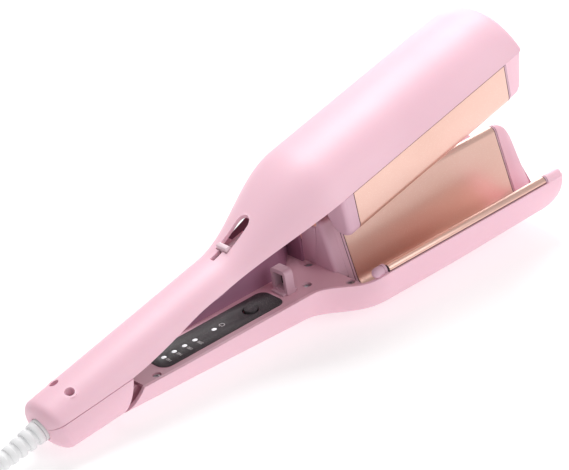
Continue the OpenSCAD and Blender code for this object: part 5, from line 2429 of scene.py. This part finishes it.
@dataclass(frozen=True)
class UpperCover:
    """The inner cover of the upper arm, which follows the shell's rim, and its screws; its dark plum colour
    is painted shade, since the cover lies in shadow under the arm.

    Attributes:
        start: Tail end of the cover.
        end: Its front end.
        lift: How far it lies inside the rim.
        thick: Its thickness.
        inset: Gap to the far wall of the lower arm.
        hatch: Start, end and half width of the opening for the lock.
        screws: Places of its screws.
        steps: Steps along it.
    """

    start: float = 53.0
    end: float = 183.0
    lift: float = 0.45
    thick: float = 1.4
    inset: float = 2.2
    hatch: tuple[float, float, float] = (126.0, 171.0, 7.0)
    screws: tuple[Flat, ...] = ((64, 0), (112, 0), (180, 12), (180, -12))
    steps: int = 60

    def level(self, x: float) -> float:
        """Height of its underside."""
        return max(7.0, UpperForm.rim(x) + self.lift)

    def half(self, x: float) -> float:
        """Half width of the cover at a station."""
        level, wall = self.level(x) + self.thick, SIZES.wall
        side = (UpperForm.width(x) - wall) * oval_width(level / (UpperForm.top(x) - wall), SIZES.oval_power)
        return min(side - 0.3, InnerCover().half(x - STANCE.arm_offset) - self.inset)

    def build(self) -> None:
        """Makes the cover and its screws."""
        rings = []
        for index in range(self.steps + 1):
            x = mix(self.start, self.end, index / self.steps)
            low, side = self.level(x), self.half(x)
            high = low + self.thick
            rings.append([(x, -side, low), (x, side, low), (x, side, high), (x, -side, high)])
        made = loft("upper_cover_plate", rings)
        start, end, half = self.hatch
        holes = [post(x, y, 2.6, -5, 30) for x, y in self.screws]
        cut(made, [block("hatch", (start, -half, 0), (end, half, 30))] + holes)
        # Painted shade: the cover gets a dark plum colour in place of the shadow that it lies in.
        settle(made, Body.UPPER, "shade_plastic", "inner_plastic", ["upper_inner_cover"])
        unit = InnerCover().screw()
        unit.data.transform(Matrix.Rotation(math.pi, 4, "X"))
        unit.data.transform(Matrix.Translation((0, 0, InnerCover().head_h - 0.8)))
        places = [(x, y, self.level(x)) for x, y in self.screws]
        screws = REPEATER.build("upper_cover_screw_set", unit, places, "screw_steel", math.pi)
        settle(screws, Body.UPPER, "screw_steel", "screw_steel", ["upper_cover_screws"], 35)


@dataclass(frozen=True)
class Latch:
    """The catch on the lower arm and the sliding lock on the upper arm.

    Attributes:
        catch_x: Tail face of the catch.
        catch_len: Length of the catch.
        catch_w: Width of the catch.
        catch_h: Height of the catch.
        head_r: Rounding of the catch's head.
        window: Half width, floor and roof of the catch's window.
        slider: Start, end, half width, floor and roof of the slider's plate.
        tab: Start, end, half width and roof of the thumb tab.
        tab_round: Rounding of the tab's front and back edge.
        hook: Start, end, floor and roof of the hook, and the end of its leg.
        bed: Corners of one side of the bed, as place and side place.
        bed_z: Underside and top of the bed.
        bed_ways: Start, end and half width of the openings for the tab, the hook and the catch.
    """

    catch_x: float = 157.5
    catch_len: float = 5.5
    catch_w: float = 12.0
    catch_h: float = 14.0
    head_r: float = 2.6
    window: tuple[float, float, float] = (3.75, 2.5, 11.5)
    slider: tuple[float, float, float, float, float] = (124.0, 151.0, 4.8, 12.2, 13.8)
    tab: tuple[float, float, float, float] = (133.6, 137.0, 3.9, 19.8)
    tab_round: Flat = (1.4, 0.8)
    hook: tuple[float, float, float, float, float] = (148.0, 156.4, 6.2, 9.2, 151.0)
    bed: tuple[Flat, ...] = ((122, -10.4), (136, -10.6), (161, -12.4))
    bed_z: Flat = (11.0, 12.0)
    bed_ways: tuple[Point, ...] = ((138.2, 146.0, 2.6), (147.2, 158.4, 3.3), (157.2, 166.0, 6.6))

    def lock_bed(self) -> Object:
        """Makes the bed that closes the shell under the slider, with the ways of its hook."""
        floor, roof = self.bed_z
        outline = [*self.bed, *((x, -y) for x, y in reversed(self.bed))]
        bed = prism("lock_bed", outline, floor, roof)
        for start, end, half in self.bed_ways:
            cut(bed, [block("way", (start, -half, floor - 1), (end, half, roof + 1))])
        return settle(bed, Body.UPPER, "pink_shell", "pink_shell")

    def catch(self) -> Object:
        """Makes the catch: a loop with a rounded head on a foot, and a dark sheet behind its window that is
        painted shade.
        """
        half, high, radius = self.catch_w / 2, self.catch_h, self.head_r
        outline = [(-half, 0), (half, 0), (half, high - radius)]
        outline += WAVE.arc(Vector((half - radius, high - radius)), radius, 0, 90, 8)
        outline += WAVE.arc(Vector((radius - half, high - radius)), radius, 90, 180, 8)
        front = self.catch_x + self.catch_len
        loop = prism("catch", outline, self.catch_x, front, "x")
        side, floor, roof = self.window
        cut(loop, [block("hole", (self.catch_x - 2, -side, floor), (front + 2, side, roof))])
        bevel(loop, 0.4, 3, 40)
        foot_x, foot_len, foot_h = self.catch_x - 2.5, 10.0, 1.4
        foot = block("foot", (foot_x, 1 - half, 0), (foot_x + foot_len, half - 1, foot_h))
        bevel(foot, 0.35, 2, 40)
        made = joined("catch_loop", [loop, foot])
        # Painted shade: a dark sheet inside the window stands in for the shade in the loop.
        window_shade_x = front - 0.9
        back = block("catch_back", (window_shade_x, -side, floor), (window_shade_x + 0.4, side, roof))
        settle(back, Body.LOWER, "seam_shadow", "black_plastic")
        return settle(made, Body.LOWER, "catch_plastic", "inner_plastic", ["latch_catch"])

    def lock(self) -> Object:
        """Makes the slider: its plate, the thumb tab and the hook."""
        start, end, half, floor, roof = self.slider
        plate = block("plate", (start, -half, floor), (end, half, roof))
        tab_start, tab_end, tab_half, tab_roof = self.tab
        cut(plate, [block("window", (tab_end + 1.5, -2.9, floor - 1), (tab_end + 8.5, 2.9, roof + 1))])
        front_r, back_r = self.tab_round
        outline = [(tab_start, roof), (tab_end, roof), (tab_end, tab_roof - front_r)]
        outline += WAVE.arc(Vector((tab_end - front_r, tab_roof - front_r)), front_r, 0, 90, 6)
        outline += WAVE.arc(Vector((tab_start + back_r, tab_roof - back_r)), back_r, 90, 180, 4)
        tab = prism("tab", outline, -tab_half, tab_half, "y")
        hook_start, hook_end, hook_floor, hook_roof, leg_end = self.hook
        leg = block("leg", (hook_start, -3, hook_floor), (leg_end, 3, floor))
        nose = block("nose", (leg_end, -3, hook_floor), (hook_end, 3, hook_roof))
        parts = [plate, tab, leg, nose]
        for part in parts:
            bevel(part, 0.3, 2, 40)
        made = joined("lock_button", parts)
        return settle(made, Body.LOCK, "lock_plastic", "lock_plastic", ["lock_slider"])

    def build(self) -> None:
        """Makes the bed, the catch and the lock."""
        self.lock_bed()
        self.catch()
        self.lock()


# ---------------------------------------------------------------- strain relief and plug


@dataclass(frozen=True)
class StrainRelief:
    """The ribbed, tapered strain relief of the swivel.

    Attributes:
        length: How far it stands out of the tail.
        collar_d: Width of its collar.
        cord_d: Width of the cord.
        pitch: Distance between ribs.
        ribs: Number of ribs.
        rib_len: Length of a rib.
        flange_x: Where its inner flange starts.
        flange: How far the flange stands out, and its thickness.
        steps: Steps round it.
    """

    length: float = 40.0
    collar_d: float = 12.6
    cord_d: float = 6.4
    pitch: float = 5.8
    ribs: int = 7
    rib_len: float = 3.6
    flange_x: float = 2.95
    flange: Flat = (1.7, 2.2)
    steps: int = 56

    def profile(self) -> list[Flat]:
        """Outline of radius and place, from the cord end to the flange inside the tail."""
        bore = (self.cord_d + 0.5) / 2
        points: list[Flat] = [(bore, -self.length), (self.cord_d / 2 + 0.8, -self.length)]
        for rib in range(self.ribs):
            start = -self.length + 0.4 + rib * self.pitch
            wide = mix(self.cord_d + 2, self.collar_d, rib / (self.ribs - 1)) / 2
            low = mix(self.cord_d / 2 + 0.8, (self.collar_d - 3) / 2, (start + self.length) / self.length)
            points += [(low, start), (wide - 0.42, start + 0.12), (wide - 0.2, start + 0.5)]
            points += [(wide - 0.04, start + self.rib_len - 0.45), (wide - 0.2, start + self.rib_len - 0.1)]
            points += [(wide - 0.5, start + self.rib_len), (low + 0.05, start + self.rib_len + 0.1)]
        radius = self.collar_d / 2
        points += [(radius - 1.5, -1.02), (radius - 0.1, -1.0), (radius, -0.8), (radius, self.flange_x)]
        wide, end = radius + self.flange[0], self.flange_x + self.flange[1]
        return points + [(wide, self.flange_x), (wide, end), (bore, end)]

    def build(self) -> Object:
        """Makes the relief, open along its bore."""
        profile = self.profile()
        made = along_cord(turned_body("strain_relief_sleeve", profile + [profile[0]], self.steps))
        turned_normals(made.data, 1e-5)
        return settle(made, Body.SWIVEL, "white_flex", "white_flex", ["strain_relief"], 50)


# ---------------------------------------------------------------- the solids that stay


def softened(node: str, name: str, slot: str, width: float) -> Object:
    """Makes a piece of the lead from a solid's shape with its edges rounded.

    Args:
        node: The solid.
        name: Name of the piece.
        slot: The record's slot of its finish.
        width: Width of the rounding, in metres.

    Returns:
        The piece.
    """
    solid = bpy.data.objects[node]
    shape = bmesh.new()
    shape.from_mesh(solid.data)
    shape.transform(solid.matrix_world)
    bmesh.ops.remove_doubles(shape, verts=shape.verts, dist=1e-6)
    flat, sharp = math.radians(1), math.radians(50)
    bmesh.ops.dissolve_limit(shape, angle_limit=flat, verts=shape.verts, edges=shape.edges)
    edges = [edge for edge in shape.edges if edge.is_manifold and edge.calc_face_angle() > sharp]
    bmesh.ops.bevel(
        shape, geom=edges, offset=width, offset_type="OFFSET", segments=3, profile=0.5,
        affect="EDGES", clamp_overlap=True,
    )
    bmesh.ops.triangulate(shape, faces=[face for face in shape.faces if len(face.verts) > 4])
    data = bpy.data.meshes.new(name)
    shape.to_mesh(data)
    shape.free()
    return dress(linked(name, data), Body.UPPER, slot, slot, [node], 35.0)


def dress_solids() -> None:
    """Gives every solid that is still shown the finish of its slot."""
    slots = {part["node"]: part["material_slot"] for part in frame["record"]["subparts"]}
    for name, slot in slots.items():
        solid = bpy.data.objects[name]
        if solid.hide_render:
            continue
        solid.data.materials.clear()
        solid.data.materials.append(MATERIALS[slot])
        LOG.info("solid %s keeps its shape in %s", name, slot)


def main() -> None:
    """Builds the studio and every piece."""
    logging.basicConfig(level=logging.INFO, format="%(name)s: %(message)s")
    Viewpoint().place()
    Studio().build()
    lead = Lead()
    cord = lead.build()
    UpperShell().build()
    TailCover().build()
    LowerShell().build()
    WavePlates().build()
    panel = ControlPanel()
    panel.build()
    InnerCover().build(panel)
    UpperCover().build()
    Latch().build()
    StrainRelief().build()
    plug = softened("plug_body", "plug_block", "white_plastic", 0.0016)
    pins = softened("plug_pins", "plug_prongs", "pin_brass", 0.0006)
    dress_solids()


if __name__ == "__main__":
    main()
